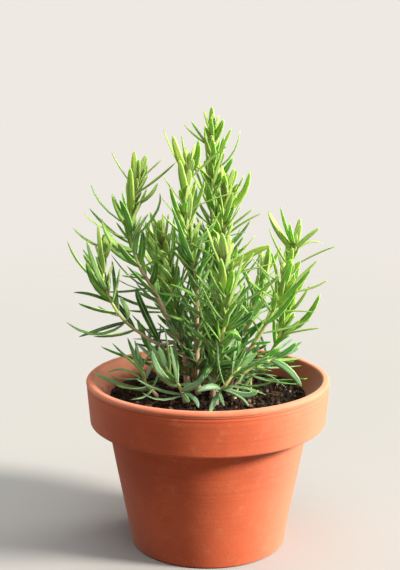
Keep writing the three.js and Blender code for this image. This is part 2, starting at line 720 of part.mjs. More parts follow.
function makeStems(axes, leaves) {
  const nodes = [...new Set(STEMS.map(({ node }) => node))];
  return nodes.map((node) => {
    let body = null;
    const parts = [
      ...axes.filter(({ stem }) => stem.node === node).map(stemSolid),
      ...leaves.filter((leaf) => leaf.node === node).map(leafSolid),
    ];
    for (const part of parts) {
      body = body ? body.add(part) : part;
    }
    return meshOf(node, body, FOLIAGE);
  });
}

function makePlant() {
  const axes = STEMS.map(layAxis);
  for (const axis of axes) {
    axis.spots = [];
    for (let s = 0; s < axis.length; s += 2.4) {
      axis.spots.push(axisAt(axis, s).at);
    }
  }
  const leaves = growLeaves(axes);
  const plant = new THREE.Group();
  plant.add(makePot(), makeSoil(axes), ...makeStems(axes, leaves));
  return plant;
}

export default makePlant();
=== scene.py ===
import functools
import math
import random

import bpy
import numpy as np
from bpy.props import FloatProperty, FloatVectorProperty, IntProperty, PointerProperty
from mathutils import Euler, Matrix, Vector, noise


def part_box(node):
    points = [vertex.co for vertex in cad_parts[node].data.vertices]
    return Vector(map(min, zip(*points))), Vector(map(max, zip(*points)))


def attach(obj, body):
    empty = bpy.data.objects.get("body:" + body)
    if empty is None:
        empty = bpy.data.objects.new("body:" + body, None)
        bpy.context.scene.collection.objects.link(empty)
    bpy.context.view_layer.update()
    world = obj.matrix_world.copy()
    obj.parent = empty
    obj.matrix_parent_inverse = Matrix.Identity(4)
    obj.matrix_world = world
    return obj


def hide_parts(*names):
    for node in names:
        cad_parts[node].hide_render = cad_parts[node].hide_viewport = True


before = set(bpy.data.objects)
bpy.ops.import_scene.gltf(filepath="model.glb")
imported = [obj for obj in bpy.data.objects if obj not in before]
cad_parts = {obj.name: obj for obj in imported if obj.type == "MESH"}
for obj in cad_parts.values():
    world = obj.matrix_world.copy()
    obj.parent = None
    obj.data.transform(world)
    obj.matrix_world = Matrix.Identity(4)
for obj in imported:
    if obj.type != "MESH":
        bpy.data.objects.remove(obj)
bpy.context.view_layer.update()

bl_info = {
    "name": "Potted Rosemary Plant",
    "version": (1, 0, 0),
    "blender": (4, 5, 0),
    "location": "View3D > Sidebar > Rosemary",
    "description": "Dresses the solids of a rosemary plant in a clay pot with fine pieces and finishes",
    "category": "Add Mesh",
}

MM = 0.001
POT_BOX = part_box("pot")

# Pot, millimetres
FLOOR_THICKNESS = 8
FLOOR_ROUND = 3
WALL_THICKNESS = 6
LIP_INNER_RADIUS = 70.4
LIP_ROUND = 2
BAND_FOOT_RADIUS = 73
NECK_RADIUS = 62
BAND_CORNER = 1.8
BAND_UNDER_ROUND = 1.4
LIP_INNER_ROUND = 1.3
FOOT_EDGE = 1.6
LIP_GROOVE = {"below": 4.2, "deep": 0.3, "half": 0.8}
FINE_GROOVE = {"below": 6.4, "deep": 0.05, "half": 0.5}
POT_STEPS = 144
POT_SMOOTH_ANGLE = 38
BROAD_WAVE = 21
FINE_WAVE = 60
DRAIN = {"radius": 4.5, "ring": 24, "count": 3, "turn": 30}

# Soil, millimetres
SOIL_BELOW_LIP = 12
SOIL_RADIUS = 60.8
SOIL_STEPS = 200
SOIL_GAP = 0.25
SOIL_WALL_GAP = 0.4
SOIL_RING = 0.95
SWELL_HEIGHT = 0.7
CRUMB_HEIGHT = 1.5
CLOD_HEIGHT = 0.7
HEAP = {"height": 1.6, "spread": 14, "most": 2.4}
CRUMBS = 2100
CHIPS = 70
STRAWS = 40
FOOT_CLEAR = 2.6
WALL_SPECKS = {"count": 40, "seed": 14, "lowest": 0.8, "climb": 7.0, "start": 63, "sweep": 198}
NEEDLES = {
    "count": 26, "reach": 55, "edge": 58, "long": (9, 19), "width": 1.5, "lift": 0.9, "arch": 1.0,
    "roll": 2.6, "twist": 0.8,
}

# Stems, millimetres
FOOT_DEPTH = 20
FOOT_RISE = 2.5
FOOT_SWELL = {"by": 0.25, "fades": 3}
AXIS_STEPS = 6
SPOT_GAP = 2.4
RING_GAP = 1.1
TIP_RADIUS = 0.9
TIP_THINNING = 0.75
KNOT = {"swell": 0.16, "reach": 1.1}
UNEVEN = {"swell": 0.09, "scale": 0.25}
BARK_ROUGH = {"depth": 0.13, "scale": 900}
WOODY_SHARE = 0.75
SPRIG_WOODY = 0.35
SHOOT_START = 18

# Leaves, millimetres and degrees: the space that each keeps
LEAF_SAMPLES = 12
LEAF_SPACE = 3.1
STEM_SPACE = 2.6
OWN_STRETCH = 0.35
SOIL_SPACE = 2.2
WALL_SPACE = 2.2
TRIES = 10

# Listed leaves
PLACED_SHIFT = (0, 1.6, 0.5)
PLACED_VIA_SHARE = 0.6
PLACED_ARCH = 1.5
BROAD_LEAF = 3.6
FACE_FRONT = (0, -0.8, 0.6)

# Pairs of leaves
PAIR_GAP_LOW = 9.2
PAIR_GAP_TIP = 6
PAIR_TURN = 90
STEM_TURN = 37
TURN_SPREAD = 40
TURN_SWING = 15
SPLAY_LOW = 84
SPLAY_TIP = 28
SPLAY_POWER = 1.2
SPLAY_SPREAD = 34
LEAF_LIFT = 0.1
CURL_LOW = 0.06
CURL_TIP = 0.22
CURL_SPREAD = 0.8
SIDE_SPREAD = 0.5
ROLL_SPREAD = 50
WIDTH_LEAST = 0.85
WIDTH_SPREAD = 0.3
REACH_LOW = 0.6
REACH_SWELL = 0.48
REACH_LEAST = 0.86
REACH_SPREAD = 0.26
REACH_LOSS = 0.035
CURVED_REACH = 0.97
LAST_PAIR = 1

# Small leaves, in the axils and in a tuft at each tip
SMALL = {
    "turn_spread": 40, "turn_swing": 22, "lean_spread": 16, "reach_least": 0.8, "reach_spread": 0.4,
    "reach_loss": 0.05, "lift": 0.1, "curl": (-0.05, 0.3), "width": (0.75, 1.12), "full_reach": 18,
    "width_least": 0.9, "width_spread": 0.2, "roll_spread": 60, "space": 1.9,
}
AXIL = {
    "leaves": 4, "share": 0.97, "first": 8, "last": 3, "turn": 30, "step": 1.5, "own_space": 0.7,
    "tries": 6, "outer": {"splay": (58, 26), "reach": (26, 13)},
    "inner": {"splay": (40, 16), "reach": (18, 10)},
}
TUFT = {
    "leaves": 6, "on_sprig": 2, "below_tip": 0.2, "gap": 0.9, "turn": 137.5, "splay": 7, "splay_step": 4,
    "reach": 11, "reach_step": 1.8, "tries": 4,
}

# How leaves look: their fullness, twist, youth and bloom
LEAF_SWELL = 1.08
SPRIG_SWELL = 0.98
YOUNG_SWELL = 0.16
LEAF_TWIST = 0.9
YOUTH = {
    "least": 0.1, "gain": 0.85, "power": 1.3, "low": 0.6, "by_height": 0.4, "full_height": 100,
    "small": 0.12, "sprig": 0.45, "spread": 0.26,
}
SPRIG_SILVER = (0.2, 0.85)
MOST_SILVER = 0.3

# The numbers that draw at random, the steps between the seeds of stems, pairs and leaves, and noise's seed
DRAW_FACTOR = 1664525
DRAW_STEP = 1013904223
DRAW_RANGE = 2 ** 32
PAIR_SEEDS = (7919, 613, 101)
AXIL_SEEDS = (3571, 457, 71)
AXIL_CHOICE = 7
TUFT_SEEDS = (991, 37)
STRAY_SEED = 5

# Each stem's route starts at its foot; heights in a route are above the soil.
# Its pairs of leaves start above its bare foot and end at its top, if it has one.
# Its small axil leaves start at its axil height, or near the soil if it has none.
# The fresher a stem, the younger its leaves and the greener its wood. Below 0 they are older. This is
# partly painted light: stems on the lit right side are fresher and brighter, and those on the shaded left
# older and darker, which is painted shade.
# A shoot grows out of another stem's side, in the same node.
# A leaf is (distance up the stem, point it passes or None, tip, width).
STEMS = [
    {
        "node": "stem_left", "radius": 1.9, "bare": 16, "top": 112, "axil": 104, "fresh_and_lit": -0.1,
        "route": [
            (-13, 3, 0), (-15, 4, 29), (-23, 1, 44), (-32, -3, 65),
            (-41, -5, 81), (-46, -6, 98), (-46, -3, 115), (-41, 0, 136),
        ],
        "leaves": [
            (138, None, (-44, -3, 151), 3.8), (121, None, (-46, -10, 142), 4.0),
            (141, (-35, 2, 139), (-27, 4, 146), 2.8), (134, None, (-19, -6, 145), 2.4),
            (127, (-36, -7, 124), (-30, -11, 133), 3.4), (137, None, (-58, 4, 150), 2.2),
            (114, (-62, -3, 117), (-70, -2, 131), 2.8), (106, (-63, -8, 106), (-74, -11, 115), 2.6),
            (101, (-65, -5, 94), (-81, -4, 105), 2.6), (88, (-25, -9, 91), (-11, -13, 101), 2.8),
            (74, (-45, -7, 74), (-58, -10, 90), 3.2), (94, None, (-61, 3, 98), 2.6),
            (106, (-32, -4, 113), (-29, -3, 126), 3.2), (76, None, (-31, -11, 87), 4.0),
            (56, (-38, -6, 54), (-48, -11, 56), 2.8), (31, (-30, -3, 31), (-44, -8, 35), 2.8),
            (100, (-56, -12, 97), (-63, -14, 112), 4.4), (112, (-53, -7, 115), (-57, -8, 126), 3.7),
            (116, None, (-51, -10, 128), 2.2), (90, (-52, -10, 90), (-60, -13, 98), 3.8),
            (70, (-46, -12, 71), (-57, -15, 78), 2.4), (90, None, (-39, -9, 104), 3.8),
        ],
    },
    {
        "node": "stem_left", "shoot": True, "radius": 1.2, "bare": 34, "top": 66, "axil": 62,
        "fresh_and_lit": -0.12,
        "route": [
            (-17, 4, 34), (-29, -3, 33), (-41, -8, 41), (-52, -13, 52),
            (-60, -15, 67), (-63, -13, 81), (-63, -10, 90),
        ],
        "leaves": [
            (69, (-75, -17, 84), (-83, -19, 100), 2.8), (77, None, (-75, -9, 93), 2.6),
            (60, (-67, -17, 74), (-72, -19, 88), 4.2), (81, None, (-65, -12, 111), 2.4),
            (83, None, (-57, -17, 100), 2.6), (47, None, (-66, -17, 60), 2.6),
            (42, (-67, -14, 42), (-85, -16, 50), 3.2), (14, (-37, -6, 43), (-46, -10, 55), 2.8),
            (14, (-39, -12, 57), (-43, -14, 70), 4.0),
        ],
    },
    {
        "node": "stem_inner_left", "radius": 1.6, "bare": 13,
        "route": [(-12, 10, 0), (-15, 13, 26), (-19, 15, 50), (-24, 15, 74), (-28, 12, 94)],
    },
    {
        "node": "stem_centre_left", "radius": 1.9, "bare": 13, "top": 116,
        "route": [
            (-6, -3, 0), (-7, -4, 30), (-7, -9, 51), (-7, -12, 70),
            (-10, -13, 88), (-13, -11, 107), (-13, -9, 125), (-12, -6, 141),
        ],
        "leaves": [
            (137, None, (-27, -1, 162), 2.0), (140, (-17, -9, 147), (-21, -11, 161), 3.6),
            (142, None, (-16, -5, 162), 2.2), (140, (-7, -8, 147), (-6, -10, 158), 3.8),
            (127, None, (-17, -15, 147), 3.7), (121, None, (-27, -7, 138), 2.4),
            (135, (1, -10, 147), (11, -13, 155), 2.4), (116, (1, -12, 123), (19, -14, 128), 2.2),
            (97, (8, -14, 101), (23, -16, 105), 2.4), (93, None, (4, -21, 111), 3.0),
            (107, (-21, -10, 116), (-28, -8, 124), 2.6), (85, None, (-20, -17, 98), 3.0),
            (81, None, (-20, -18, 97), 3.0), (82, (-4, -16, 88), (1, -18, 91), 2.4),
            (99, (0, -20, 93), (7, -24, 86), 2.4), (98, None, (3, -18, 110), 3.0),
        ],
    },
    {
        "node": "stem_tall", "radius": 2.0, "bare": 15, "top": 140,
        "route": [
            (-1, 11, 0), (0, 14, 31), (2, 17, 59), (3, 17, 91), (2, 15, 119), (2, 12, 144), (2, 9, 162),
        ],
        "leaves": [
            (153, (-8, 12, 159), (-15, 13, 166), 2.6), (151, (-5, 8, 160), (-10, 5, 168), 2.8),
            (161, None, (2, 7, 170), 2.6), (156, None, (9, 5, 169), 3.6),
            (142, None, (14, 16, 163), 2.6), (138, (14, 11, 147), (19, 10, 162), 2.6),
            (128, None, (15, 8, 146), 3.8), (103, None, (-7, 21, 121), 2.6),
        ],
    },
    {
        "node": "stem_centre_right", "radius": 1.7, "bare": 15,
        "route": [(6, 6, 0), (4, 10, 29), (7, 12, 57), (8, 10, 82), (8, 6, 102), (11, 1, 126)],
        "leaves": [
            (113, None, (14, -2, 131), 3.4), (115, (20, 5, 123), (25, 6, 138), 3.6),
            (103, None, (20, 1, 118), 2.8), (97, (21, 9, 106), (33, 10, 112), 2.4),
            (83, None, (20, 6, 105), 2.2),
        ],
    },
    {
        "node": "stem_front", "radius": 1.8, "bare": 9,
        "route": [
            (3, -9, 0), (3, -13, 17), (6, -21, 32), (9, -27, 48), (10, -30, 65),
            (10, -29, 78), (10, -26, 90),
        ],
        "leaves": [
            (52, (19, -29, 53), (26, -31, 60), 3.6), (50, (17, -30, 46), (17, -33, 33), 3.0),
            (59, (-7, -31, 69), (-23, -33, 77), 3.2), (66, (28, -33, 71), (42, -36, 83), 3.2),
            (88, (23, -29, 93), (36, -31, 99), 3.6), (91, None, (27, -25, 104), 2.6),
            (52, (-6, -26, 58), (-19, -24, 66), 3.2), (27, (16, -24, 27), (28, -27, 23), 3.0),
            (24, (21, -24, 26), (37, -26, 26), 3.6),
            (37, (-1, -28, 49), (-5, -30, 65), 2.8), (54, None, (1, -32, 63), 2.2),
            (72, None, (7, -33, 92), 4.2), (74, None, (14, -32, 89), 3.6),
            (84, (24, -27, 84), (41, -24, 88), 2.0),
        ],
    },
    {
        "node": "stem_right", "radius": 1.9, "bare": 12, "top": 86, "axil": 62, "fresh_and_lit": 0.2,
        "route": [
            (13, 0, 0), (17, 1, 18), (26, -2, 30), (36, -6, 48), (43, -9, 64), (48, -8, 81), (52, -4, 95),
        ],
        "leaves": [
            (102, (42, -3, 103), (36, -2, 115), 3.8), (104, None, (43, -6, 118), 3.2),
            (105, None, (48, -11, 110), 2.6), (103, (58, -7, 99), (66, -8, 106), 3.4),
            (100, (60, -2, 96), (69, 0, 95), 2.6), (90, (64, -9, 90), (76, -10, 95), 2.2),
            (76, (59, -11, 69), (71, -13, 75), 2.6), (80, None, (25, -13, 90), 2.8),
            (71, None, (23, -16, 77), 3.0), (92, None, (36, -12, 106), 2.6),
            (22, (32, -7, 28), (44, -12, 33), 3.2),
            (21, (33, 0, 20), (45, 1, 26), 3.4),
            (88, None, (55, -11, 86), 3.6), (78, None, (52, -13, 76), 4.0),
            (52, (29, -12, 52), (23, -14, 50), 2.4),
        ],
    },
    {
        "node": "stem_right_back", "radius": 1.6, "bare": 14, "axil": 40, "fresh_and_lit": 0.25,
        "route": [(17, 10, 0), (25, 16, 11), (37, 20, 18), (45, 22, 31), (48, 21, 46), (51, 18, 61)],
        "leaves": [
            (50, (60, 20, 42), (70, 18, 60), 3.8), (66, None, (60, 24, 70), 2.8),
            (54, None, (34, 26, 58), 2.8),
        ],
    },
    {
        "node": "stem_back_left", "radius": 1.7, "bare": 14,
        "route": [(-8, 17, 0), (-12, 22, 22), (-21, 31, 44), (-30, 38, 64), (-35, 41, 84)],
    },
    {
        "node": "stem_back", "radius": 1.8, "bare": 14,
        "route": [(3, 19, 0), (4, 27, 25), (7, 37, 50), (8, 43, 76), (7, 45, 98)],
    },
    {
        "node": "stem_back_right", "radius": 1.6, "bare": 13,
        "route": [(12, 18, 0), (16, 28, 17), (24, 39, 34), (32, 46, 52), (37, 48, 68)],
    },
    {
        "node": "sprig_left", "radius": 1.2, "bare": 9,
        "route": [(-31, -12, 0), (-35, -14, 8), (-38, -15, 12), (-39, -15, 18), (-41, -13, 23)],
        "leaves": [
            (16, (-36, -13, 19), (-32, -10, 24), 3.2), (24, None, (-41, -12, 30), 2.4),
            (22, None, (-45, -17, 29), 2.4), (15, (-50, -15, 20), (-61, -14, 18), 3.0),
            (18, (-50, -17, 15), (-59, -19, 18), 2.4), (12, (-46, -21, 10), (-55, -24, 13), 3.2),
            (9, (-38, -27, 7), (-46, -33, 7), 3.0),
        ],
    },
    {
        "node": "sprig_front_left", "radius": 1.2, "bare": 9,
        "route": [(-14, -24, 0), (-16, -27, 10), (-18, -29, 15), (-22, -30, 20), (-25, -29, 26)],
        "leaves": [
            (15, (-28, -35, 23), (-33, -34, 37), 4.6), (17, None, (-25, -38, 26), 3.0),
            (8, (-29, -33, 7), (-39, -35, 12), 2.8), (12, (-7, -32, 16), (-3, -30, 22), 4.6),
            (10, (-9, -36, 9), (-6, -46, 6), 3.2),
        ],
    },
    {
        "node": "sprig_front", "radius": 1.2, "bare": 9,
        "route": [(5, -25, 0), (7, -28, 11), (10, -31, 15), (14, -31, 21), (19, -29, 26)],
        "leaves": [
            (14, (1, -37, 16), (-7, -41, 14), 4.2), (15, (21, -38, 11), (29, -41, 15), 4.2),
            (13, (18, -41, 12), (23, -50, 9), 2.2), (11, (7, -38, 10), (9, -49, 8), 2.8),
            (26, (20, -32, 21), (15, -36, 16), 2.2), (28, None, (22, -28, 35), 2.6),
        ],
    },
    {
        "node": "sprig_front_right", "radius": 1.2, "bare": 12,
        "route": [(16, -12, 0), (20, -15, 16), (26, -15, 21), (34, -13, 24), (42, -10, 27)],
        "leaves": [
            (38, (48, -18, 21), (56, -20, 11), 4.8),
            (28, None, (38, -20, 21), 2.6),
            (19, (12, -21, 27), (2, -20, 31), 3.4),
        ],
    },
    {
        "node": "sprig_right", "radius": 1.2, "bare": 10,
        "route": [(26, -2, 0), (26, -3, 9), (27, -2, 14), (30, 0, 18)],
        "leaves": [
            (12, (36, -4, 14), (48, -6, 6), 2.8), (13, (23, -8, 9), (21, -14, 6), 2.6),
            (16, None, (37, -4, 19), 2.6),
        ],
    },
    {
        "node": "sprig_back_left", "radius": 1.2, "bare": 7,
        "route": [(-21, 16, 0), (-28, 21, 8), (-35, 26, 16), (-40, 30, 27)],
    },
    {
        "node": "sprig_back", "radius": 1.2, "bare": 7,
        "route": [(0, 29, 0), (0, 36, 7), (-2, 43, 15), (-3, 48, 26)],
    },
]


def shade(red, green, blue):
    """A colour given in screen values, 0 to 255, as the linear values that a shader takes."""
    def line(part):
        part /= 255
        return part / 12.92 if part <= 0.04045 else ((part + 0.055) / 1.055) ** 2.4
    return (line(red), line(green), line(blue))


# Marks on the clay, in millimetres. The sides run along X: painted shade on the shaded side and painted
# light on the lit side. The others are ranges over the lip's top, paled by wear and a painted highlight,
# over its inner radius, over the neck and, for the soil staining with its painted shade, over the soil.
SHADE_SIDE = (-50, -10)
LIT_SIDE = (10, 70)
WORN_AND_LIT_LIP = (-4.2, -2.2)
CUP_EDGE = (0.8, -0.4)
CUP_FLOOR = (2, 4)
# Soil staining inside the pot, partly painted shade: across the X range it climbs higher towards the right,
# where the inner wall lies in shade.
STAIN_AND_SHADE = {"heights": (4, 10), "ragged": 7, "climb": 12, "side": (-30, 40), "share": 0.92}
CHALK_SHARE = 0.85

# Small marks, as linear colours, and how deep each finish's relief is, in millimetres
GRIT_TONE = (0.16, 0.06, 0.03, 1)
LIME_TONE = (0.8, 0.5, 0.36, 1)
FLECK_TONE = (0.30, 0.22, 0.19, 1)
RIB_TONE = (0.42, 0.52, 0.26, 1)
DRY_TIP_TONE = (0.1, 0.05, 0.02, 1)
RELIEF = {"clay": 0.12, "soil": 0.6, "litter": 0.2, "bark": 0.22, "leaf": 0.05}

# Stage, in metres. A light is a name, the side that it comes from, its spread, strength and tone.
FLOOR_REACH = 1.3
FLOOR_FADE = (0.35, 0.98)
FLOOR_TONE = shade(162, 162, 161)
FLOOR_UNEVEN = 0.985
FLOOR_DIM = 0.6
SURROUND_TONE = shade(238, 233, 226)
AMBIENT_TONE = (1.0, 0.99, 0.97, 1)
AMBIENT_STRENGTH = 0.18
LIGHTS = [
    ("key", (1.3, -0.4, 0.78), 14, 7.15, (1.0, 0.93, 0.83)),
    ("sky", (0.1, -0.3, 1.3), 60, 2.1, (1.0, 0.99, 0.96)),
    ("wall", (-1.0, 0.7, 0.1), 40, 0.9, (1.0, 0.94, 0.86)),
    ("rim", (1.0, 0.5, 0.35), 30, 2.4, (1.0, 0.95, 0.85)),
]

# The photograph's view: millimetres, degrees, and the lens of a 36 mm frame's long side
CAMERA_PLACE = (-5, -721, 312.7)
CAMERA_DIP = 11.7
CAMERA_LENS = 76.42


def colour(name, description, default):
    return FloatVectorProperty(
        name=name, description=description, default=default, subtype="COLOR", min=0, max=1)


def length(name, description, default):
    return FloatProperty(name=name, description=description, default=default, min=0, unit="LENGTH")


class PotSizes(bpy.types.PropertyGroup):
    """Sizes of the pot."""
    height: length("Height", "Height of the pot from base to lip", POT_BOX[1].z)
    rim_radius: length("Rim radius", "Outer radius at the lip", POT_BOX[1].x)
    base_radius: length("Base radius", "Outer radius at the base", 48 * MM)
    band_height: length("Band height", "Height of the thick band under the lip", 28 * MM)
    wobble: length("Wobble", "How far the pressed clay strays from a true round", 0.22 * MM)


class PlantSizes(bpy.types.PropertyGroup):
    """Sizes of the plant's leaves."""
    leaf_length: length("Leaf length", "Length of a full-grown leaf", 29 * MM)
    leaf_width: length("Leaf width", "Width of a full-grown leaf", 3.2 * MM)
    seed: IntProperty(name="Seed", description="Number that all random draws start from", default=41)


class PlantColours(bpy.types.PropertyGroup):
    """Colours of the clay, soil, bark and leaves."""
    clay: colour("Clay", "Main colour of the fired clay", shade(216, 99, 58))
    # Pale clay also serves as the painted light on the lit side and part of the lip's painted highlight.
    clay_pale: colour("Pale clay", "Lighter bloom and worn edges", shade(222, 146, 116))
    # Deep clay also serves as the painted shade on the shaded side.
    clay_deep: colour("Deep clay", "Darker patches of the clay", shade(168, 66, 36))
    soil: colour("Soil", "Main colour of the potting soil", shade(46, 33, 25))
    # Damp clay also serves as painted shade on the shaded inner wall.
    damp_and_shade: colour("Damp clay", "Clay darkened by the soil inside the pot", shade(126, 52, 6))
    soil_brown: colour("Brown soil", "Lighter crumbs in the soil", shade(88, 62, 45))
    chip: colour("Bark chip", "Chips and straws in the soil", shade(150, 112, 78))
    bark: colour("Bark", "Old wood at the foot of a stem", shade(236, 200, 172))
    twig: colour("Twig", "Half-ripe wood", shade(232, 202, 166))
    shoot: colour("Shoot", "Green wood near a tip", shade(206, 212, 126))
    leaf_young: colour("Young leaf", "Upper face of leaves at a tip", shade(156, 183, 58))
    leaf_mid: colour("Grown leaf", "Upper face of grown leaves", shade(90, 152, 48))
    # Old leaf also serves as the painted shade towards the tips of grown leaves.
    leaf_old: colour("Old leaf", "Upper face of low, old leaves", shade(20, 66, 30))
    leaf_felt: colour("Felt", "Underside and margins of a leaf", shade(180, 198, 152))
    leaf_silver: colour("Silvered leaf", "Bluish bloom on the leaves of low sprigs", shade(134, 170, 132))


def pot_sizes():
    """The pot's sizes in millimetres."""
    sizes = bpy.context.scene.pot_sizes
    found = {name: round(getattr(sizes, name) / MM, 3) for name in PotSizes.__annotations__}
    found["neck"] = found["height"] - found["band_height"]
    found["soil"] = found["height"] - SOIL_BELOW_LIP
    return found


def paint(name, share=1.0):
    """One of the plant's colours, or a share of it, which is darker."""
    return (*(share * part for part in getattr(bpy.context.scene.plant_colours, name)), 1.0)


def mix(a, b, share):
    return (1 - share) * a + share * b


def smooth(low, high, value):
    share = np.clip((value - low) / (high - low), 0, 1)
    return share * share * (3 - 2 * share)


# Growth: where each stem runs and each leaf lies, in millimetres

def unit(vector):
    return vector / np.linalg.norm(vector)


def above_soil(place):
    return np.array([place[0], place[1], place[2] + pot_sizes()["soil"]], dtype=float)


def drawing(seed):
    """Draws between 0 and 1, the same each time for the same seed."""
    state = seed % DRAW_RANGE

    def draw():
        nonlocal state
        state = (state * DRAW_FACTOR + DRAW_STEP) % DRAW_RANGE
        return state / DRAW_RANGE
    draw()
    return draw


def seed_of(steps, *numbers):
    """A seed of its own for each stem, pair and leaf."""
    first = bpy.context.scene.plant_sizes.seed
    return first + sum(step * number for step, number in zip(steps, numbers))


def inside_radius(z):
    """The pot's inner radius at a height."""
    pot = pot_sizes()
    if z < pot["neck"]:
        return mix(pot["base_radius"], NECK_RADIUS, z / pot["neck"]) - WALL_THICKNESS
    if z < pot["soil"]:
        share = (z - pot["neck"]) / (pot["soil"] - pot["neck"])
        return mix(NECK_RADIUS - WALL_THICKNESS, SOIL_RADIUS, share)
    return mix(SOIL_RADIUS, LIP_INNER_RADIUS, (z - pot["soil"]) / SOIL_BELOW_LIP)


def smooth_route(route):
    """A smooth curve through the points of a route."""
    points = [2 * route[0] - route[1], *route, 2 * route[-1] - route[-2]]
    curve = []
    for before, start, end, after in zip(points, points[1:], points[2:], points[3:]):
        leaving, arriving = 0.5 * (end - before), 0.5 * (after - start)
        for step in range(AXIS_STEPS):
            t = step / AXIS_STEPS
            curve.append(
                start + leaving * t
                + (-3 * start + 3 * end - 2 * leaving - arriving) * t ** 2
                + (2 * start - 2 * end + leaving + arriving) * t ** 3)
    return [*curve, route[-1].copy()]


class Axis:
    """A stem's centre line: straight in the soil, then a smooth curve through its route."""

    def __init__(self, number, stem):
        self.number = number
        self.node = stem["node"]
        self.radius = stem["radius"]
        self.bare = stem["bare"]
        self.top = stem.get("top", math.inf)
        self.axil = stem.get("axil", AXIL["first"])
        self.fresh_and_lit = stem.get("fresh_and_lit", 0)
        self.shoot = stem.get("shoot", False)
        self.sprig = self.node.startswith("sprig")
        self.leaves = stem.get("leaves", [])
        route = [above_soil(place) for place in stem["route"]]
        if not self.shoot:
            route[0][2] += FOOT_RISE
        self.points = smooth_route(route)
        if not self.shoot:
            self.points.insert(0, above_soil((*stem["route"][0][:2], -FOOT_DEPTH)))
        steps = [np.linalg.norm(b - a) for a, b in zip(self.points, self.points[1:])]
        self.lengths = [0.0, *np.cumsum(steps)]
        self.below = 0 if self.shoot else FOOT_DEPTH
        self.length = self.lengths[-1] - self.below
        chord = unit(self.points[-1] - self.points[0])
        self.across = np.array((1.0, 0, 0) if abs(chord[1]) > 0.6 else (0, 1.0, 0))
        self.spots = [self.at(s)[0] for s in np.arange(0, self.length, SPOT_GAP)]

    def at(self, distance):
        """The point, direction and two cross directions at a distance above the soil."""
        along_line = distance + self.below
        i = 1
        while i < len(self.points) - 1 and self.lengths[i] < along_line:
            i += 1
        share = (along_line - self.lengths[i - 1]) / (self.lengths[i] - self.lengths[i - 1])
        step = self.points[i] - self.points[i - 1]
        along = unit(step)
        first = unit(self.across - along * self.across.dot(along))
        return self.points[i - 1] + step * share, along, first, np.cross(first, along)

    def pair_places(self):
        return self.places(self.bare, min(self.top, self.length - LAST_PAIR))

    def axil_places(self):
        return self.places(self.axil, self.length - AXIL["last"])

    def places(self, along, end):
        """Distances from one to another, closer together the nearer they are to the tip."""
        found = []
        while along < end:
            found.append(along)
            along += mix(PAIR_GAP_LOW, PAIR_GAP_TIP, along / self.length)
        return found


class Leaf:
    """A leaf on a curve from its root through one bend to its tip."""

    def __init__(self, root, bend, tip, stem_along, width, roll):
        chord = unit(tip - root)
        side = np.cross(chord, stem_along)
        if np.linalg.norm(side) < 0.1:
            side = np.cross(chord, np.array((0, 1, 0.2)))
        side = unit(side)
        self.side = (
            side * math.cos(roll) + np.cross(chord, side) * math.sin(roll)
            + chord * chord.dot(side) * (1 - math.cos(roll)))
        self.root, self.bend, self.tip, self.width = root, bend, tip, width
        self.samples = self.point(np.arange(LEAF_SAMPLES + 1) / LEAF_SAMPLES)

    def point(self, t):
        t = np.asarray(t)[:, None]
        return (1 - t) ** 2 * self.root + 2 * t * (1 - t) * self.bend + t ** 2 * self.tip

    def heading(self, t):
        t = np.asarray(t)[:, None]
        found = (1 - t) * (self.bend - self.root) + t * (self.tip - self.bend)
        return found / np.linalg.norm(found, axis=1)[:, None]


def clear_of_pot(samples):
    pot = pot_sizes()
    for i, place in enumerate(samples):
        if i > 1 and place[2] < pot["soil"] + SOIL_SPACE:
            return False
        near_wall = math.hypot(place[0], place[1]) > inside_radius(place[2]) - WALL_SPACE
        if place[2] < pot["height"] + WALL_SPACE and near_wall:
            return False
    return True


class Crowd:
    """The leaves grown so far, each clear of the pot, the soil, the stems and the other leaves."""

    def __init__(self, axes):
        self.names = sorted({axis.node for axis in axes})
        self.stems = {
            name: np.array([spot for axis in axes if axis.node != name for spot in axis.spots])
            for name in self.names
        }
        self.leaves = []
        self.cloud = np.zeros((0, 3))
        self.owner = np.zeros(0, dtype=int)
        self.order = np.zeros(0, dtype=int)

    def is_clear(self, leaf, node, space, own_space):
        mine = leaf.samples
        if not clear_of_pot(mine):
            return False
        if (((mine[:, None] - self.stems[node][None]) ** 2).sum(2) < STEM_SPACE ** 2).any():
            return False
        near = ((self.cloud > mine.min(0) - space) & (self.cloud < mine.max(0) + space)).all(1)
        if not near.any():
            return True
        own = round(LEAF_SAMPLES * OWN_STRETCH)
        apart = ((mine[:, None] - self.cloud[near][None]) ** 2).sum(2)
        same = self.owner[near] == self.names.index(node)
        if (apart[:, ~same] < space ** 2).any():
            return False
        far = same & (self.order[near] >= own)
        return not (apart[own:][:, far] < own_space ** 2).any()

    def grow(self, axis, candidate, rise, kind, space=LEAF_SPACE, own_space=LEAF_SPACE, tries=TRIES):
        """Keeps the first of a leaf's tries that is clear."""
        for turn in range(tries):
            leaf = candidate(turn)
            if self.is_clear(leaf, axis.node, space, own_space):
                leaf.axis, leaf.rise, leaf.kind = axis, rise, kind
                self.leaves.append(leaf)
                self.cloud = np.concatenate([self.cloud, leaf.samples])
                count = len(leaf.samples)
                self.owner = np.concatenate([self.owner, np.full(count, self.names.index(axis.node))])
                self.order = np.concatenate([self.order, np.arange(count)])
                return


def placed_leaf(axis, spec, turn):
    """A listed leaf, bent a little nearer or further until it is clear."""
    along, via, tip, wide = spec
    root, direction, _, _ = axis.at(min(along, axis.length - 0.5))
    shift = np.array(PLACED_SHIFT) * (-(turn + 1) / 2 if turn % 2 else turn / 2)
    end = above_soil(tip) + shift
    if via:
        middle = above_soil(via) + shift * PLACED_VIA_SHARE
    else:
        middle = (root + end) / 2 - direction * PLACED_ARCH
    facing = direction if wide < BROAD_LEAF else np.array(FACE_FRONT)
    return Leaf(root, middle * 2 - (root + end) * 0.5, end, facing, wide, 0)


def swing(turn):
    """0, -1, 1, -2, 2 and so on, for one try after another."""
    return (-1 if turn % 2 else 1) * math.ceil(turn / 2)


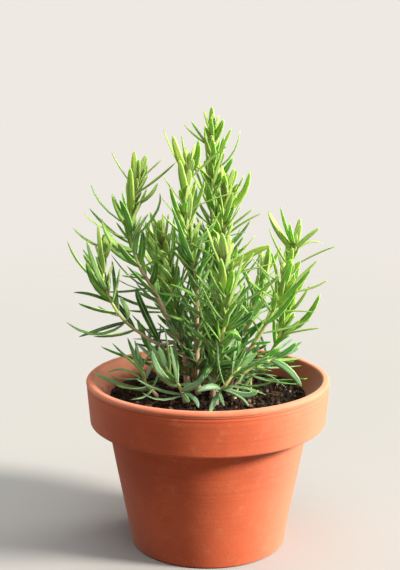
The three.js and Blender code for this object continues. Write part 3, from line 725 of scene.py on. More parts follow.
def ruled_leaf(axis, along, azimuth, draw, turn):
    """One leaf of a pair: higher leaves are steeper, and lower ones spread."""
    plant = bpy.context.scene.plant_sizes
    root, direction, first, second = axis.at(along)
    rise = along / axis.length
    angle = math.radians(azimuth + TURN_SPREAD * (draw() - 0.5) + TURN_SWING * swing(turn))
    splay = math.radians(mix(SPLAY_LOW, SPLAY_TIP, rise ** SPLAY_POWER) + SPLAY_SPREAD * (draw() - 0.5))
    swell = REACH_LOW + REACH_SWELL * math.sin(math.pi * (0.2 + 0.8 * rise))
    reach = round(plant.leaf_length / MM, 3) * swell
    reach *= (REACH_LEAST + REACH_SPREAD * draw()) * (1 - REACH_LOSS * turn)
    out = first * math.cos(angle) + second * math.sin(angle)
    heading = direction * math.cos(splay) + out * math.sin(splay)
    heading[2] += LEAF_LIFT
    heading = unit(heading)
    curl = mix(CURL_LOW, CURL_TIP, rise) + CURL_SPREAD * (draw() - 0.5)
    tip = root + heading * reach * CURVED_REACH + direction * curl * reach
    width = round(plant.leaf_width / MM, 3) * (WIDTH_LEAST + WIDTH_SPREAD * draw())
    roll = math.radians(ROLL_SPREAD * (draw() - 0.5))
    tip = tip + unit(np.cross(heading, direction)) * SIDE_SPREAD * (draw() - 0.5) * reach
    return Leaf(root, root + heading * reach * 0.5, tip, direction, width, roll)


def small_leaf(axis, along, azimuth, splay, reach, draw, turn):
    """A short leaf in an axil or in the tuft at a tip."""
    plant = bpy.context.scene.plant_sizes
    root, direction, first, second = axis.at(along)
    azimuth = azimuth + SMALL["turn_spread"] * (draw() - 0.5) + SMALL["turn_swing"] * swing(turn)
    angle = math.radians(azimuth)
    lean = math.radians(splay + SMALL["lean_spread"] * (draw() - 0.5))
    reach *= (SMALL["reach_least"] + SMALL["reach_spread"] * draw()) * (1 - SMALL["reach_loss"] * turn)
    out = first * math.cos(angle) + second * math.sin(angle)
    heading = unit(direction * math.cos(lean) + out * math.sin(lean) + np.array((0, 0, SMALL["lift"])))
    tip = root + heading * reach + direction * reach * mix(*SMALL["curl"], draw())
    width = plant.leaf_width / MM * mix(*SMALL["width"], min(1, reach / SMALL["full_reach"]))
    width *= SMALL["width_least"] + SMALL["width_spread"] * draw()
    roll = math.radians(SMALL["roll_spread"] * (draw() - 0.5))
    return Leaf(root, root + heading * reach * 0.5, tip, direction, width, roll)


def grow_pairs(crowd, axis):
    """The pairs of leaves of one stem, each turned against the pair below."""
    for pair, along in enumerate(axis.pair_places()):
        for half in (0, 1):
            start = seed_of(PAIR_SEEDS, axis.number, pair, half)
            azimuth = STEM_TURN * axis.number + PAIR_TURN * pair + 180 * half
            crowd.grow(
                axis, lambda turn: ruled_leaf(axis, along, azimuth, drawing(start), turn),
                along / axis.length, "grown")


def grow_axils(crowd, axis):
    """The short leaves in the axils of one stem's pairs."""
    for pair, along in enumerate(axis.axil_places()):
        rise = along / axis.length
        for extra in range(AXIL["leaves"]):
            start = seed_of(AXIL_SEEDS, axis.number, pair, extra)
            if drawing(start + AXIL_CHOICE)() > AXIL["share"]:
                continue
            azimuth = STEM_TURN * axis.number + PAIR_TURN * pair
            azimuth += 360 * extra / AXIL["leaves"] + AXIL["turn"]
            form = AXIL["outer"] if extra % 2 else AXIL["inner"]
            splay, reach = mix(*form["splay"], rise), mix(*form["reach"], rise)
            crowd.grow(
                axis,
                lambda turn: small_leaf(
                    axis, along + AXIL["step"] * (extra % 3), azimuth, splay, reach, drawing(start), turn),
                rise, "small", SMALL["space"], SMALL["space"] * AXIL["own_space"], AXIL["tries"])


def grow_tuft(crowd, axis):
    """The short steep leaves round one stem's tip."""
    for extra in range(TUFT["on_sprig"] if axis.sprig or axis.top < axis.length else TUFT["leaves"]):
        start = seed_of(TUFT_SEEDS, axis.number, extra)
        crowd.grow(
            axis,
            lambda turn: small_leaf(
                axis, axis.length - TUFT["gap"] * extra - TUFT["below_tip"], TUFT["turn"] * extra,
                TUFT["splay"] + TUFT["splay_step"] * extra, TUFT["reach"] + TUFT["reach_step"] * extra,
                drawing(start), turn),
            1.0, "tuft", SMALL["space"], 0, TUFT["tries"])


@functools.cache
def grown():
    """All stems and leaves. The leaves of the solids come first, then the small ones."""
    axes = [Axis(number, stem) for number, stem in enumerate(STEMS)]
    crowd = Crowd(axes)
    for axis in axes:
        for spec in axis.leaves:
            rise = min(1, spec[0] / axis.length)
            crowd.grow(axis, functools.partial(placed_leaf, axis, spec), rise, "grown")
    for axis in axes:
        grow_pairs(crowd, axis)
    for axis in axes:
        if not axis.sprig:
            grow_axils(crowd, axis)
        grow_tuft(crowd, axis)
    return axes, crowd.leaves


# Mesh tools

def deselect():
    if bpy.context.mode != "OBJECT":
        bpy.ops.object.mode_set(mode="OBJECT")
    bpy.ops.object.select_all(action="DESELECT")


def pick(piece):
    deselect()
    piece.select_set(True)
    bpy.context.view_layer.objects.active = piece


def named(piece, name):
    piece.name = piece.data.name = name
    return piece


def spin_outline(name, outline, steps):
    """A turned body: a point is drawn out along the outline, which is spun about the upright axis."""
    deselect()
    bpy.ops.mesh.primitive_plane_add(size=MM, location=(outline[0][0] * MM, 0, outline[0][1] * MM))
    piece = named(bpy.context.object, name)
    bpy.ops.object.transform_apply(location=True)
    bpy.ops.object.mode_set(mode="EDIT")
    bpy.ops.mesh.select_all(action="SELECT")
    bpy.ops.mesh.merge(type="CENTER")
    for start, end in zip(outline, outline[1:]):
        step = ((end[0] - start[0]) * MM, 0, (end[1] - start[1]) * MM)
        bpy.ops.mesh.extrude_region_move(TRANSFORM_OT_translate={"value": step})
    bpy.ops.mesh.select_all(action="SELECT")
    bpy.ops.mesh.spin(steps=steps, angle=2 * math.pi, center=(0, 0, 0), axis=(0, 0, 1))
    bpy.ops.mesh.select_all(action="SELECT")
    bpy.ops.mesh.remove_doubles(threshold=0.002 * MM)
    bpy.ops.mesh.normals_make_consistent(inside=False)
    bpy.ops.object.mode_set(mode="OBJECT")
    return piece


def vertices_of(mesh):
    places = np.zeros(len(mesh.vertices) * 3, dtype=np.float32)
    mesh.vertices.foreach_get("co", places)
    return places.reshape(-1, 3).astype(float)


def set_vertices(mesh, places):
    mesh.vertices.foreach_set("co", np.asarray(places, dtype=np.float32).ravel())
    mesh.update()


def give_value(mesh, name, values):
    """A number per vertex, which a material reads as an attribute."""
    values = np.broadcast_to(np.asarray(values, dtype=np.float32), (len(mesh.vertices),))
    attribute = mesh.attributes.get(name) or mesh.attributes.new(name, "FLOAT", "POINT")
    attribute.data.foreach_set("value", np.ascontiguousarray(values))


def copy_of(template):
    """A copy with a mesh of its own."""
    copy = template.copy()
    copy.data = template.data.copy()
    bpy.context.scene.collection.objects.link(copy)
    return copy


def joined(name, copies):
    """The copies as one piece, with its place in its mesh."""
    deselect()
    for copy in copies:
        copy.select_set(True)
    bpy.context.view_layer.objects.active = copies[0]
    bpy.ops.object.join()
    bpy.ops.object.transform_apply(location=True, rotation=True, scale=True)
    return named(bpy.context.object, name)


def remove(*objects):
    for item in objects:
        bpy.data.objects.remove(item)


def dressed(piece, material, slot, *nodes):
    """The finished piece: its finish, the body that it rides on and the solids that it stands for."""
    piece.data.materials.clear()
    piece.data.materials.append(material)
    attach(piece, "root")
    if nodes:
        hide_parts(*nodes)


def arc(centre, radius, start, end, steps):
    angles = [math.radians(mix(start, end, i / steps)) for i in range(steps + 1)]
    return [(centre[0] + radius * math.cos(a), centre[1] + radius * math.sin(a)) for a in angles]


def straight(start, end, gap):
    """Points between two ends, neither of them included."""
    steps = max(1, round(math.dist(start, end) / gap))
    return [(mix(start[0], end[0], i / steps), mix(start[1], end[1], i / steps)) for i in range(1, steps)]


# Pot

def groove_points(radius_at, height, groove):
    """A small rounded groove cut into the band, from its lower edge to its upper one."""
    middle = height - groove["below"]
    points = []
    for share in (-1, -0.55, -0.2, 0.2, 0.55, 1):
        z = middle + share * groove["half"]
        points.append((radius_at(z) - groove["deep"] * math.cos(share * math.pi / 2), z))
    return points


def pot_outline():
    pot = pot_sizes()
    height, neck, base = pot["height"], pot["neck"], pot["base_radius"]

    def band_radius(z):
        return mix(BAND_FOOT_RADIUS, pot["rim_radius"], (z - neck) / pot["band_height"])
    foot = arc((base - FOOT_EDGE, FOOT_EDGE), FOOT_EDGE, -90, 0, 5)
    under = arc((NECK_RADIUS + BAND_UNDER_ROUND, neck - BAND_UNDER_ROUND), BAND_UNDER_ROUND, 180, 90, 4)
    corner = arc((BAND_FOOT_RADIUS - BAND_CORNER, neck + BAND_CORNER), BAND_CORNER, -90, 0, 6)
    fine = groove_points(band_radius, height, FINE_GROOVE)
    deep = groove_points(band_radius, height, LIP_GROOVE)
    bead = arc((pot["rim_radius"] - LIP_ROUND, height - LIP_ROUND), LIP_ROUND, -35, 90, 9)
    inner = arc((LIP_INNER_RADIUS + LIP_INNER_ROUND, height - LIP_INNER_ROUND), LIP_INNER_ROUND, 90, 150, 4)
    at_soil = (SOIL_RADIUS, pot["soil"])
    at_neck = (NECK_RADIUS - WALL_THICKNESS, neck)
    bottom = FLOOR_THICKNESS + FLOOR_ROUND
    at_floor = (inside_radius(bottom), bottom)
    floor_edge = (inside_radius(FLOOR_THICKNESS) - FLOOR_ROUND, FLOOR_THICKNESS)
    middle = (0, FLOOR_THICKNESS)
    return [
        (0, 0), *straight((0, 0), foot[0], 12), *foot, *straight(foot[-1], under[0], 3),
        *under, *straight(under[-1], corner[0], 3), *corner, *straight(corner[-1], fine[0], 2.2),
        *fine, *deep, *bead, *inner, *straight(inner[-1], at_soil, 1.6), at_soil,
        *straight(at_soil, at_neck, 4), at_neck, *straight(at_neck, at_floor, 8), at_floor,
        floor_edge, *straight(floor_edge, middle, 12), middle,
    ]


def cut_drains(piece):
    """Drain holes through the floor, each cut by a cylinder."""
    for i in range(DRAIN["count"]):
        angle = math.radians(DRAIN["turn"] + 360 / DRAIN["count"] * i)
        place = (DRAIN["ring"] * MM * math.cos(angle), DRAIN["ring"] * MM * math.sin(angle), 0)
        deselect()
        bpy.ops.mesh.primitive_cylinder_add(
            vertices=32, radius=DRAIN["radius"] * MM, depth=4 * FLOOR_THICKNESS * MM, location=place)
        cutter = bpy.context.object
        pick(piece)
        cut = piece.modifiers.new("drain", "BOOLEAN")
        cut.operation = "DIFFERENCE"
        cut.solver = "EXACT"
        cut.object = cutter
        bpy.ops.object.modifier_apply(modifier=cut.name)
        remove(cutter)


def make_pot():
    piece = spin_outline("pot_body", pot_outline(), POT_STEPS)
    wobble = pot_sizes()["wobble"] * MM
    places = vertices_of(piece.data)
    for place in places:
        out = math.hypot(place[0], place[1])
        if out > 20 * MM and place[2] > MM:
            stray = noise.noise(Vector(place) * BROAD_WAVE) + 0.5 * noise.noise(Vector(place) * FINE_WAVE)
            place[:2] *= 1 + wobble * stray / out
    set_vertices(piece.data, places)
    cut_drains(piece)
    pick(piece)
    bpy.ops.object.shade_smooth_by_angle(angle=math.radians(POT_SMOOTH_ANGLE))
    dressed(piece, clay_finish(), "terracotta", "pot")


# Soil

def stem_feet():
    return [axis.points[0] for axis in grown()[0] if not axis.shoot]


def soil_height(x, y):
    """The soil's surface, lumpy and heaped a little round each stem, in millimetres."""
    swells = 0.8 * math.sin(x / 7.1 + 1.3) * math.cos(y / 6.3) + 0.5 * math.sin(x / 3.9 - y / 4.7)
    crumb = CRUMB_HEIGHT * noise.fractal(Vector((x, y, 3.0)) * 0.22, 0.9, 2.1, 5)
    clods = CLOD_HEIGHT * (1 - 2 * noise.voronoi(Vector((x, y, 9.0)) * 0.38)[0][0])
    heap = sum(
        HEAP["height"] * math.exp(-((x - foot[0]) ** 2 + (y - foot[1]) ** 2) / HEAP["spread"])
        for foot in stem_feet())
    return pot_sizes()["soil"] + SWELL_HEIGHT * swells + crumb + clods + min(heap, HEAP["most"])


def make_soil():
    pot = pot_sizes()
    edge = SOIL_RADIUS - SOIL_GAP
    bottom = FLOOR_THICKNESS + SOIL_WALL_GAP
    outline = [
        (0, pot["soil"]), *straight((0, pot["soil"]), (edge, pot["soil"]), SOIL_RING), (edge, pot["soil"]),
        (inside_radius(pot["neck"]) - SOIL_WALL_GAP, pot["neck"]),
        (inside_radius(bottom + FLOOR_ROUND) - SOIL_WALL_GAP, bottom + FLOOR_ROUND),
        (inside_radius(bottom) - FLOOR_ROUND, bottom), (0, bottom),
    ]
    piece = spin_outline("soil_bed", outline, SOIL_STEPS)
    places = vertices_of(piece.data)
    for place in places:
        if place[2] > (pot["soil"] - 0.1) * MM:
            x, y = place[0] / MM, place[1] / MM
            place[2] = soil_height(x, y) * MM
            if math.hypot(x, y) > edge - 0.5:
                place[:2] *= min(1, (inside_radius(place[2] / MM) - 0.15) / math.hypot(x, y))
    set_vertices(piece.data, places)
    pick(piece)
    bpy.ops.object.shade_smooth()
    dressed(piece, soil_finish(), "soil", "soil")


def lump(seed, flat=1.0):
    """An uneven crumb of about one millimetre radius."""
    deselect()
    bpy.ops.mesh.primitive_ico_sphere_add(subdivisions=2, radius=MM)
    template = bpy.context.object
    places = vertices_of(template.data)
    for place in places:
        spot = Vector(place / MM)
        coarse = noise.noise(spot * 1.3 + Vector((seed * 7.3, 0, 0)))
        fine = noise.noise(spot * 3.3 + Vector((0, seed * 5.1, 0)))
        place *= 1 + 0.55 * coarse + 0.5 * fine
        place[2] *= flat
    set_vertices(template.data, places)
    bpy.ops.object.shade_smooth()
    return template


def stray_at(spot):
    """Noise as a vector. Only with a seed is it the same in each run."""
    noise.seed_set(STRAY_SEED)
    return np.array(noise.noise_vector(spot))


def splinter(seed, long, wide, thick):
    """A torn chip of bark or a straw, from a block cut in steps and roughened."""
    deselect()
    bpy.ops.mesh.primitive_cube_add(size=MM)
    template = bpy.context.object
    bpy.ops.object.mode_set(mode="EDIT")
    bpy.ops.mesh.select_all(action="SELECT")
    bpy.ops.transform.resize(value=(long, wide, thick))
    for share in (-0.25, 0, 0.25):
        bpy.ops.mesh.select_all(action="SELECT")
        bpy.ops.mesh.bisect(plane_co=(share * long * MM, 0, 0), plane_no=(1, 0, 0))
    bpy.ops.object.mode_set(mode="OBJECT")
    places = vertices_of(template.data)
    for place in places:
        end = abs(place[0]) / (long * MM / 2)
        place[1:] *= 1 - 0.45 * end ** 3
        place += 0.16 * wide * MM * stray_at(Vector(place / MM) * 0.6 + Vector((0, seed, 0)))
        place[2] += 0.10 * long * MM * math.sin(place[0] / (long * MM) * 2.4 + seed)
    set_vertices(template.data, places)
    return template


def soil_spot(draw, reach):
    """A random place on the soil, off the stems' feet."""
    while True:
        radius, angle = reach * math.sqrt(draw.random()), 2 * math.pi * draw.random()
        x, y = radius * math.cos(angle), radius * math.sin(angle)
        if all(math.hypot(x - foot[0], y - foot[1]) > FOOT_CLEAR for foot in stem_feet()):
            return x, y


def scatter(name, templates, material, count, seed, size, lift, tilt, reach=58.0):
    """A piece of the templates' copies, strewn over the soil."""
    draw = random.Random(seed)
    copies = []
    for i in range(count):
        copy = copy_of(templates[i % len(templates)])
        x, y = soil_spot(draw, reach)
        scale = size(draw)
        tilts = [tilt * (draw.random() - 0.5) for _ in range(2)]
        turn = Euler((*tilts, 2 * math.pi * draw.random()))
        place = Vector((x, y, soil_height(x, y) + lift * scale)) * MM
        stretch = (scale, scale * (0.8 + 0.4 * draw.random()), scale)
        copy.matrix_world = Matrix.LocRotScale(place, turn, stretch)
        give_value(copy.data, "chance", draw.random())
        copies.append(copy)
    dressed(joined(name, copies), material, "soil")
    remove(*templates)


def make_litter():
    """Crumbs, bark chips and straws on the soil."""
    scatter(
        "soil_crumbs", [lump(1), lump(2, 0.8), lump(3, 0.7), lump(4)], soil_finish(),
        count=CRUMBS, seed=11, size=lambda draw: 0.36 + 1.4 * draw.random() ** 3.4,
        lift=0.35, tilt=6.0, reach=59.6)
    scatter(
        "bark_chips", [splinter(1, 4.2, 1.7, 0.6), splinter(2, 3.0, 2.0, 0.7), splinter(3, 5.5, 1.1, 0.5)],
        chip_finish(), count=CHIPS, seed=12, size=lambda draw: 0.55 + 0.75 * draw.random(),
        lift=0.6, tilt=0.9)
    scatter(
        "soil_straws", [splinter(4, 9, 0.34, 0.3), splinter(5, 13, 0.42, 0.34), splinter(6, 6.5, 0.5, 0.4)],
        chip_finish(), count=STRAWS, seed=13, size=lambda draw: 0.6 + 0.6 * draw.random(),
        lift=0.7, tilt=0.35, reach=54.0)


def make_wall_specks():
    """Crumbs of soil that stick to the pot's inside above the soil."""
    draw = random.Random(WALL_SPECKS["seed"])
    pot = pot_sizes()
    templates = [lump(5, 0.6), lump(6, 0.5)]
    copies = []
    for i in range(WALL_SPECKS["count"]):
        copy = copy_of(templates[i % len(templates)])
        angle = math.radians(WALL_SPECKS["start"] + WALL_SPECKS["sweep"] * draw.random())
        z = pot["soil"] + WALL_SPECKS["lowest"] + WALL_SPECKS["climb"] * draw.random() ** 3
        radius = inside_radius(z) - 0.1
        scale = 0.22 + 0.5 * draw.random() ** 2
        place = Vector((radius * math.cos(angle), radius * math.sin(angle), z)) * MM
        copy.matrix_world = Matrix.LocRotScale(place, Euler((0, -0.9, angle)), (scale, scale * 1.3, scale))
        give_value(copy.data, "chance", draw.random())
        copies.append(copy)
    dressed(joined("wall_specks", copies), soil_finish(), "soil")
    remove(*templates)


# Stems

def stem_thickness(axis, distance):
    """Radius at a distance above the soil: tapered, swollen where leaves stand, and uneven."""
    share = min(1, max(0, distance / axis.length))
    radius = mix(axis.radius, TIP_RADIUS * TIP_THINNING, share ** 0.8)
    knots = sum(math.exp(-((distance - place) / KNOT["reach"]) ** 2) for place in axis.pair_places())
    uneven = noise.noise(Vector((distance * UNEVEN["scale"], axis.number * 5.1, 0)))
    foot = FOOT_SWELL["by"] * math.exp(-max(0, distance) / FOOT_SWELL["fades"])
    return radius * (1 + KNOT["swell"] * min(1, knots) + UNEVEN["swell"] * uneven + foot)


def stem_tube(axis):
    """A stem as a bevelled curve along its centre line, made a mesh."""
    distances = [*np.arange(-axis.below + 0.01, axis.length, RING_GAP), axis.length - 0.01]
    curve = bpy.data.curves.new(axis.node, "CURVE")
    curve.dimensions = "3D"
    curve.bevel_depth = MM
    curve.bevel_resolution = 3
    curve.use_fill_caps = True
    line = curve.splines.new("POLY")
    line.points.add(len(distances) - 1)
    centres = np.array([axis.at(distance)[0] for distance in distances])
    for point, centre, distance in zip(line.points, centres, distances):
        point.co = (*(centre * MM), 1)
        point.radius = stem_thickness(axis, distance)
    tube = bpy.data.objects.new(axis.node, curve)
    bpy.context.scene.collection.objects.link(tube)
    pick(tube)
    bpy.ops.object.convert(target="MESH")
    tube = bpy.context.object
    places = vertices_of(tube.data)
    nearest = ((places[:, None] / MM - centres[None]) ** 2).sum(2).argmin(1)
    rise = np.array(distances)[nearest]
    # The freshness value also paints light: stems on the lit right side get less bark and more pale green
    # wood.
    woody = (SPRIG_WOODY if axis.sprig else WOODY_SHARE) * axis.length * (1 - axis.fresh_and_lit)
    start = SHOOT_START if axis.shoot else 0
    give_value(tube.data, "age", 1 - smooth(0.1 * woody, woody, rise + start))
    for place, distance in zip(places, rise):
        if 0 < distance < woody:
            place += BARK_ROUGH["depth"] * MM * stray_at(Vector(place) * BARK_ROUGH["scale"])
    set_vertices(tube.data, places)
    return tube


def stem_names():
    return sorted({stem["node"] for stem in STEMS})


def make_stems():
    for name in stem_names():
        tubes = [stem_tube(axis) for axis in grown()[0] if axis.node == name]
        piece = joined(name + "_wood", tubes)
        bpy.ops.object.shade_smooth()
        dressed(piece, bark_finish(), "foliage", name)


# Leaves

# A blade's section as (across, over), and its width at stations along it
BLADE_SECTION = [
    (0, 0.07), (0.5, 0.3), (1, 0.0), (0.7, -0.3), (0.3, -0.1),
    (0, -0.26), (-0.3, -0.1), (-0.7, -0.3), (-1, 0.0), (-0.5, 0.3),
]
BLADE_STATIONS = [
    (0, 0.42), (0.08, 0.68), (0.2, 0.9), (0.4, 1), (0.62, 0.94), (0.8, 0.78), (0.93, 0.5), (1, 0.12),
]


def blade():
    """One leaf along +X, one unit long and one unit in half-width: a section drawn out in steps."""
    deselect()
    bpy.ops.mesh.primitive_circle_add(vertices=len(BLADE_SECTION), radius=1)
    template = named(bpy.context.object, "blade")
    wide = BLADE_STATIONS[0][1]
    set_vertices(template.data, [(0, y * wide, z * wide) for y, z in BLADE_SECTION])
    bpy.ops.object.mode_set(mode="EDIT")
    bpy.ops.mesh.select_all(action="SELECT")
    bpy.ops.mesh.edge_face_add()
    for (start, before), (end, after) in zip(BLADE_STATIONS, BLADE_STATIONS[1:]):
        bpy.ops.mesh.extrude_region_move(TRANSFORM_OT_translate={"value": (end - start, 0, 0)})
        size = after / before
        bpy.ops.transform.resize(value=(1, size, size), center_override=(end, 0, 0))
    bpy.ops.mesh.select_all(action="SELECT")
    bpy.ops.mesh.normals_make_consistent(inside=False)
    bpy.ops.object.mode_set(mode="OBJECT")
    bpy.ops.object.shade_smooth()
    places = vertices_of(template.data)
    wide = np.interp(places[:, 0], *zip(*BLADE_STATIONS))
    give_value(template.data, "along", places[:, 0])
    give_value(template.data, "across", np.abs(places[:, 1]) / wide)
    give_value(template.data, "under", np.where(places[:, 2] / wide < -0.05, 1.0, 0.0))
    return template


def bent(template, places, leaf, twist):
    """A copy of the blade laid along a leaf's curve."""
    copy = copy_of(template)
    t = places[:, 0]
    heading = leaf.heading(t)
    across = leaf.side - heading * (heading @ leaf.side)[:, None]
    across /= np.linalg.norm(across, axis=1)[:, None]
    over = np.cross(across, heading)
    turn = (twist * t)[:, None]
    swell = SPRIG_SWELL if leaf.axis.sprig else LEAF_SWELL + YOUNG_SWELL * smooth(0.5, 1, leaf.rise)
    half = leaf.width / 2 * swell
    y, z = places[:, 1:2] * half, places[:, 2:3] * half
    sideways, upwards = y * np.cos(turn) - z * np.sin(turn), y * np.sin(turn) + z * np.cos(turn)
    set_vertices(copy.data, (leaf.point(t) + across * sideways + over * upwards) * MM)
    return copy


def youth_of(leaf, draw):
    """From 0, an old dark leaf low on its stem, to 1, a bright young one at a tip."""
    above = (leaf.root[2] - pot_sizes()["soil"]) / YOUTH["full_height"]
    by_height = YOUTH["low"] + YOUTH["by_height"] * min(1, above)
    # The freshness value brightens leaves on the lit right side as painted light, and darkens those on the
    # shaded left as painted shade.
    youth = YOUTH["least"] + YOUTH["gain"] * leaf.rise ** YOUTH["power"] * by_height + leaf.axis.fresh_and_lit
    if leaf.kind == "small":
        youth += YOUTH["small"]
    if leaf.axis.sprig:
        youth *= YOUTH["sprig"]
    return min(1, max(0, youth + YOUTH["spread"] * (draw.random() - 0.5)))


def silver_of(leaf, draw):
    """How much pale bluish bloom a leaf has: most on the low sprigs."""
    if leaf.axis.sprig:
        return mix(*SPRIG_SILVER, draw.random() ** 1.4)
    return mix(0, MOST_SILVER, draw.random() ** 4) * (1 - leaf.rise)


def fallen_needle(template, places, draw):
    """A dry leaf that lies on the soil, or None where it would reach the wall."""
    centre = np.array(soil_spot(draw, NEEDLES["reach"]))
    angle, reach = 2 * math.pi * draw.random(), mix(*NEEDLES["long"], draw.random())
    step = np.array((math.cos(angle), math.sin(angle))) * reach / 2
    ends = [centre + step * side for side in (-1, 0, 1)]
    if max(math.hypot(*end) for end in ends) > NEEDLES["edge"]:
        return None
    start, middle, end = [np.array((*spot, soil_height(*spot) + NEEDLES["lift"])) for spot in ends]
    middle[2] += NEEDLES["arch"]
    up = np.array((0, 0, 1.0))
    leaf = Leaf(start, middle, end, up, NEEDLES["width"], NEEDLES["roll"] * (draw.random() - 0.5))
    leaf.rise, leaf.axis = 0, grown()[0][0]
    copy = bent(template, places, leaf, NEEDLES["twist"])
    give_value(copy.data, "chance", draw.random())
    return copy


def make_leaves():
    template = blade()
    places = vertices_of(template.data)
    draw = random.Random(bpy.context.scene.plant_sizes.seed)
    for name in stem_names():
        copies = []
        for leaf in grown()[1]:
            if leaf.axis.node != name:
                continue
            copy = bent(template, places, leaf, LEAF_TWIST * (draw.random() - 0.5))
            give_value(copy.data, "youth", youth_of(leaf, draw))
            give_value(copy.data, "chance", draw.random())
            give_value(copy.data, "silver", silver_of(leaf, draw))
            copies.append(copy)
        dressed(joined(name + "_leaves", copies), leaf_finish(), "foliage", name)
    needles = [fallen_needle(template, places, draw) for _ in range(NEEDLES["count"])]
    fallen = [needle for needle in needles if needle]
    dressed(joined("fallen_needles", fallen), chip_finish(), "soil")
    remove(template)


# Finishes: node helpers, shared effects and one material for each finish

def fill(tree, made, inputs):
    """Joins a node's inputs to sockets, or sets them to values."""
    for socket, value in inputs.items():
        if isinstance(value, bpy.types.NodeSocket):
            tree.links.new(value, made.inputs[socket])
        else:
            made.inputs[socket].default_value = value


def node(tree, kind, inputs=None, **settings):
    """A new node, with its inputs joined or set."""
    made = tree.nodes.new(kind)
    for name, value in settings.items():
        setattr(made, name, value)
    fill(tree, made, inputs or {})
    return made


def blend(tree, share, first, second):
    """Two colours mixed."""
    made = node(tree, "ShaderNodeMix", data_type="RGBA", clamp_factor=True)
    fill(tree, made, {0: share, 6: first, 7: second})
    return made.outputs[2]


def between(tree, value, low, high, to_low=0.0, to_high=1.0):
    """A value from one range spread over another, smoothly and clamped."""
    made = node(
        tree, "ShaderNodeMapRange",
        {"Value": value, "From Min": low, "From Max": high, "To Min": to_low, "To Max": to_high},
        interpolation_type="SMOOTHSTEP")
    return made.outputs["Result"]


def maths(tree, operation, first, second=0.0):
    return node(tree, "ShaderNodeMath", {0: first, 1: second}, operation=operation).outputs[0]


def attribute(tree, name):
    return node(tree, "ShaderNodeAttribute", attribute_name=name).outputs["Fac"]


def stretched(tree, vector, scale):
    return node(tree, "ShaderNodeMapping", {"Vector": vector, "Scale": scale}).outputs["Vector"]


def cloud(tree, vector, scale, detail=4.0, rough=0.55):
    inputs = {"Vector": vector, "Scale": scale, "Detail": detail, "Roughness": rough}
    return node(tree, "ShaderNodeTexNoise", inputs).outputs["Fac"]


def effect(name, inputs, outputs, build):
    """A shader node group, built once: build(tree, ins) returns a socket for each output."""
    if name in bpy.data.node_groups:
        return bpy.data.node_groups[name]
    tree = bpy.data.node_groups.new(name, "ShaderNodeTree")
    for label, kind, default in inputs:
        socket = tree.interface.new_socket(name=label, in_out="INPUT", socket_type=kind)
        if default is not None:
            socket.default_value = default
    for label, kind in outputs:
        tree.interface.new_socket(name=label, in_out="OUTPUT", socket_type=kind)
    ins = tree.nodes.new("NodeGroupInput")
    outs = tree.nodes.new("NodeGroupOutput")
    for label, socket in build(tree, ins.outputs).items():
        tree.links.new(socket, outs.inputs[label])
    return tree


def use_effect(tree, group, inputs):
    return node(tree, "ShaderNodeGroup", inputs, node_tree=group).outputs


def mottle_effect():
    """Broad and fine patches of three colours."""
    def build(tree, ins):
        broad = cloud(tree, ins["Vector"], ins["Scale"], 3.0)
        finer = maths(tree, "MULTIPLY", ins["Scale"], 5.3)
        fine = cloud(tree, ins["Vector"], finer, 5.0, 0.65)
        base = blend(tree, between(tree, broad, 0.35, 0.68), ins["Deep"], ins["Main"])
        return {"Color": blend(tree, between(tree, fine, 0.5, 0.85), base, ins["Pale"]), "Mask": fine}
    return effect(
        "Mottle",
        [("Vector", "NodeSocketVector", None), ("Scale", "NodeSocketFloat", 20.0),
         ("Main", "NodeSocketColor", None), ("Deep", "NodeSocketColor", None),
         ("Pale", "NodeSocketColor", None)],
        [("Color", "NodeSocketColor"), ("Mask", "NodeSocketFloat")], build)


def specks_effect():
    """Small scattered dots: a mask that is 1 on a dot."""
    def build(tree, ins):
        cells = node(tree, "ShaderNodeTexVoronoi", {"Vector": ins["Vector"], "Scale": ins["Scale"]})
        near = between(tree, cells.outputs["Distance"], 0.1, 0.24, 1.0, 0.0)
        chosen = node(tree, "ShaderNodeSeparateColor", {"Color": cells.outputs["Color"]})
        some = maths(tree, "LESS_THAN", chosen.outputs[0], ins["Share"])
        return {"Mask": maths(tree, "MULTIPLY", near, some)}
    return effect(
        "Specks",
        [("Vector", "NodeSocketVector", None), ("Scale", "NodeSocketFloat", 400.0),
         ("Share", "NodeSocketFloat", 0.2)],
        [("Mask", "NodeSocketFloat")], build)


def grain_effect():
    """A fine uneven grain as a height."""
    def build(tree, ins):
        coarse = cloud(tree, ins["Vector"], ins["Scale"], 6.0, 0.7)
        fine = cloud(tree, ins["Vector"], maths(tree, "MULTIPLY", ins["Scale"], 4.0), 3.0, 0.6)
        return {"Height": maths(tree, "ADD", coarse, maths(tree, "MULTIPLY", fine, 0.4))}
    return effect(
        "Grain",
        [("Vector", "NodeSocketVector", None), ("Scale", "NodeSocketFloat", 300.0)],
        [("Height", "NodeSocketFloat")], build)


def new_material(name, **constants):
    """A material with its shader's own constants set, as (material, tree, shader)."""
    material = bpy.data.materials.new(name)
    material.use_nodes = True
    tree = material.node_tree
    shader = next(n for n in tree.nodes if n.type == "BSDF_PRINCIPLED")
    for socket, value in constants.items():
        shader.inputs[socket.replace("_", " ")].default_value = value
    return material, tree, shader


def finish(tree, shader, base, rough, height, depth):
    """Joins a colour, a roughness and a relief, as deep as given in millimetres, to the shader."""
    bump = node(tree, "ShaderNodeBump", {"Height": height, "Strength": 1.0, "Distance": depth * MM})
    tree.links.new(base, shader.inputs["Base Color"])
    tree.links.new(rough, shader.inputs["Roughness"])
    tree.links.new(bump.outputs["Normal"], shader.inputs["Normal"])


def object_place(tree):
    return node(tree, "ShaderNodeTexCoord").outputs["Object"]


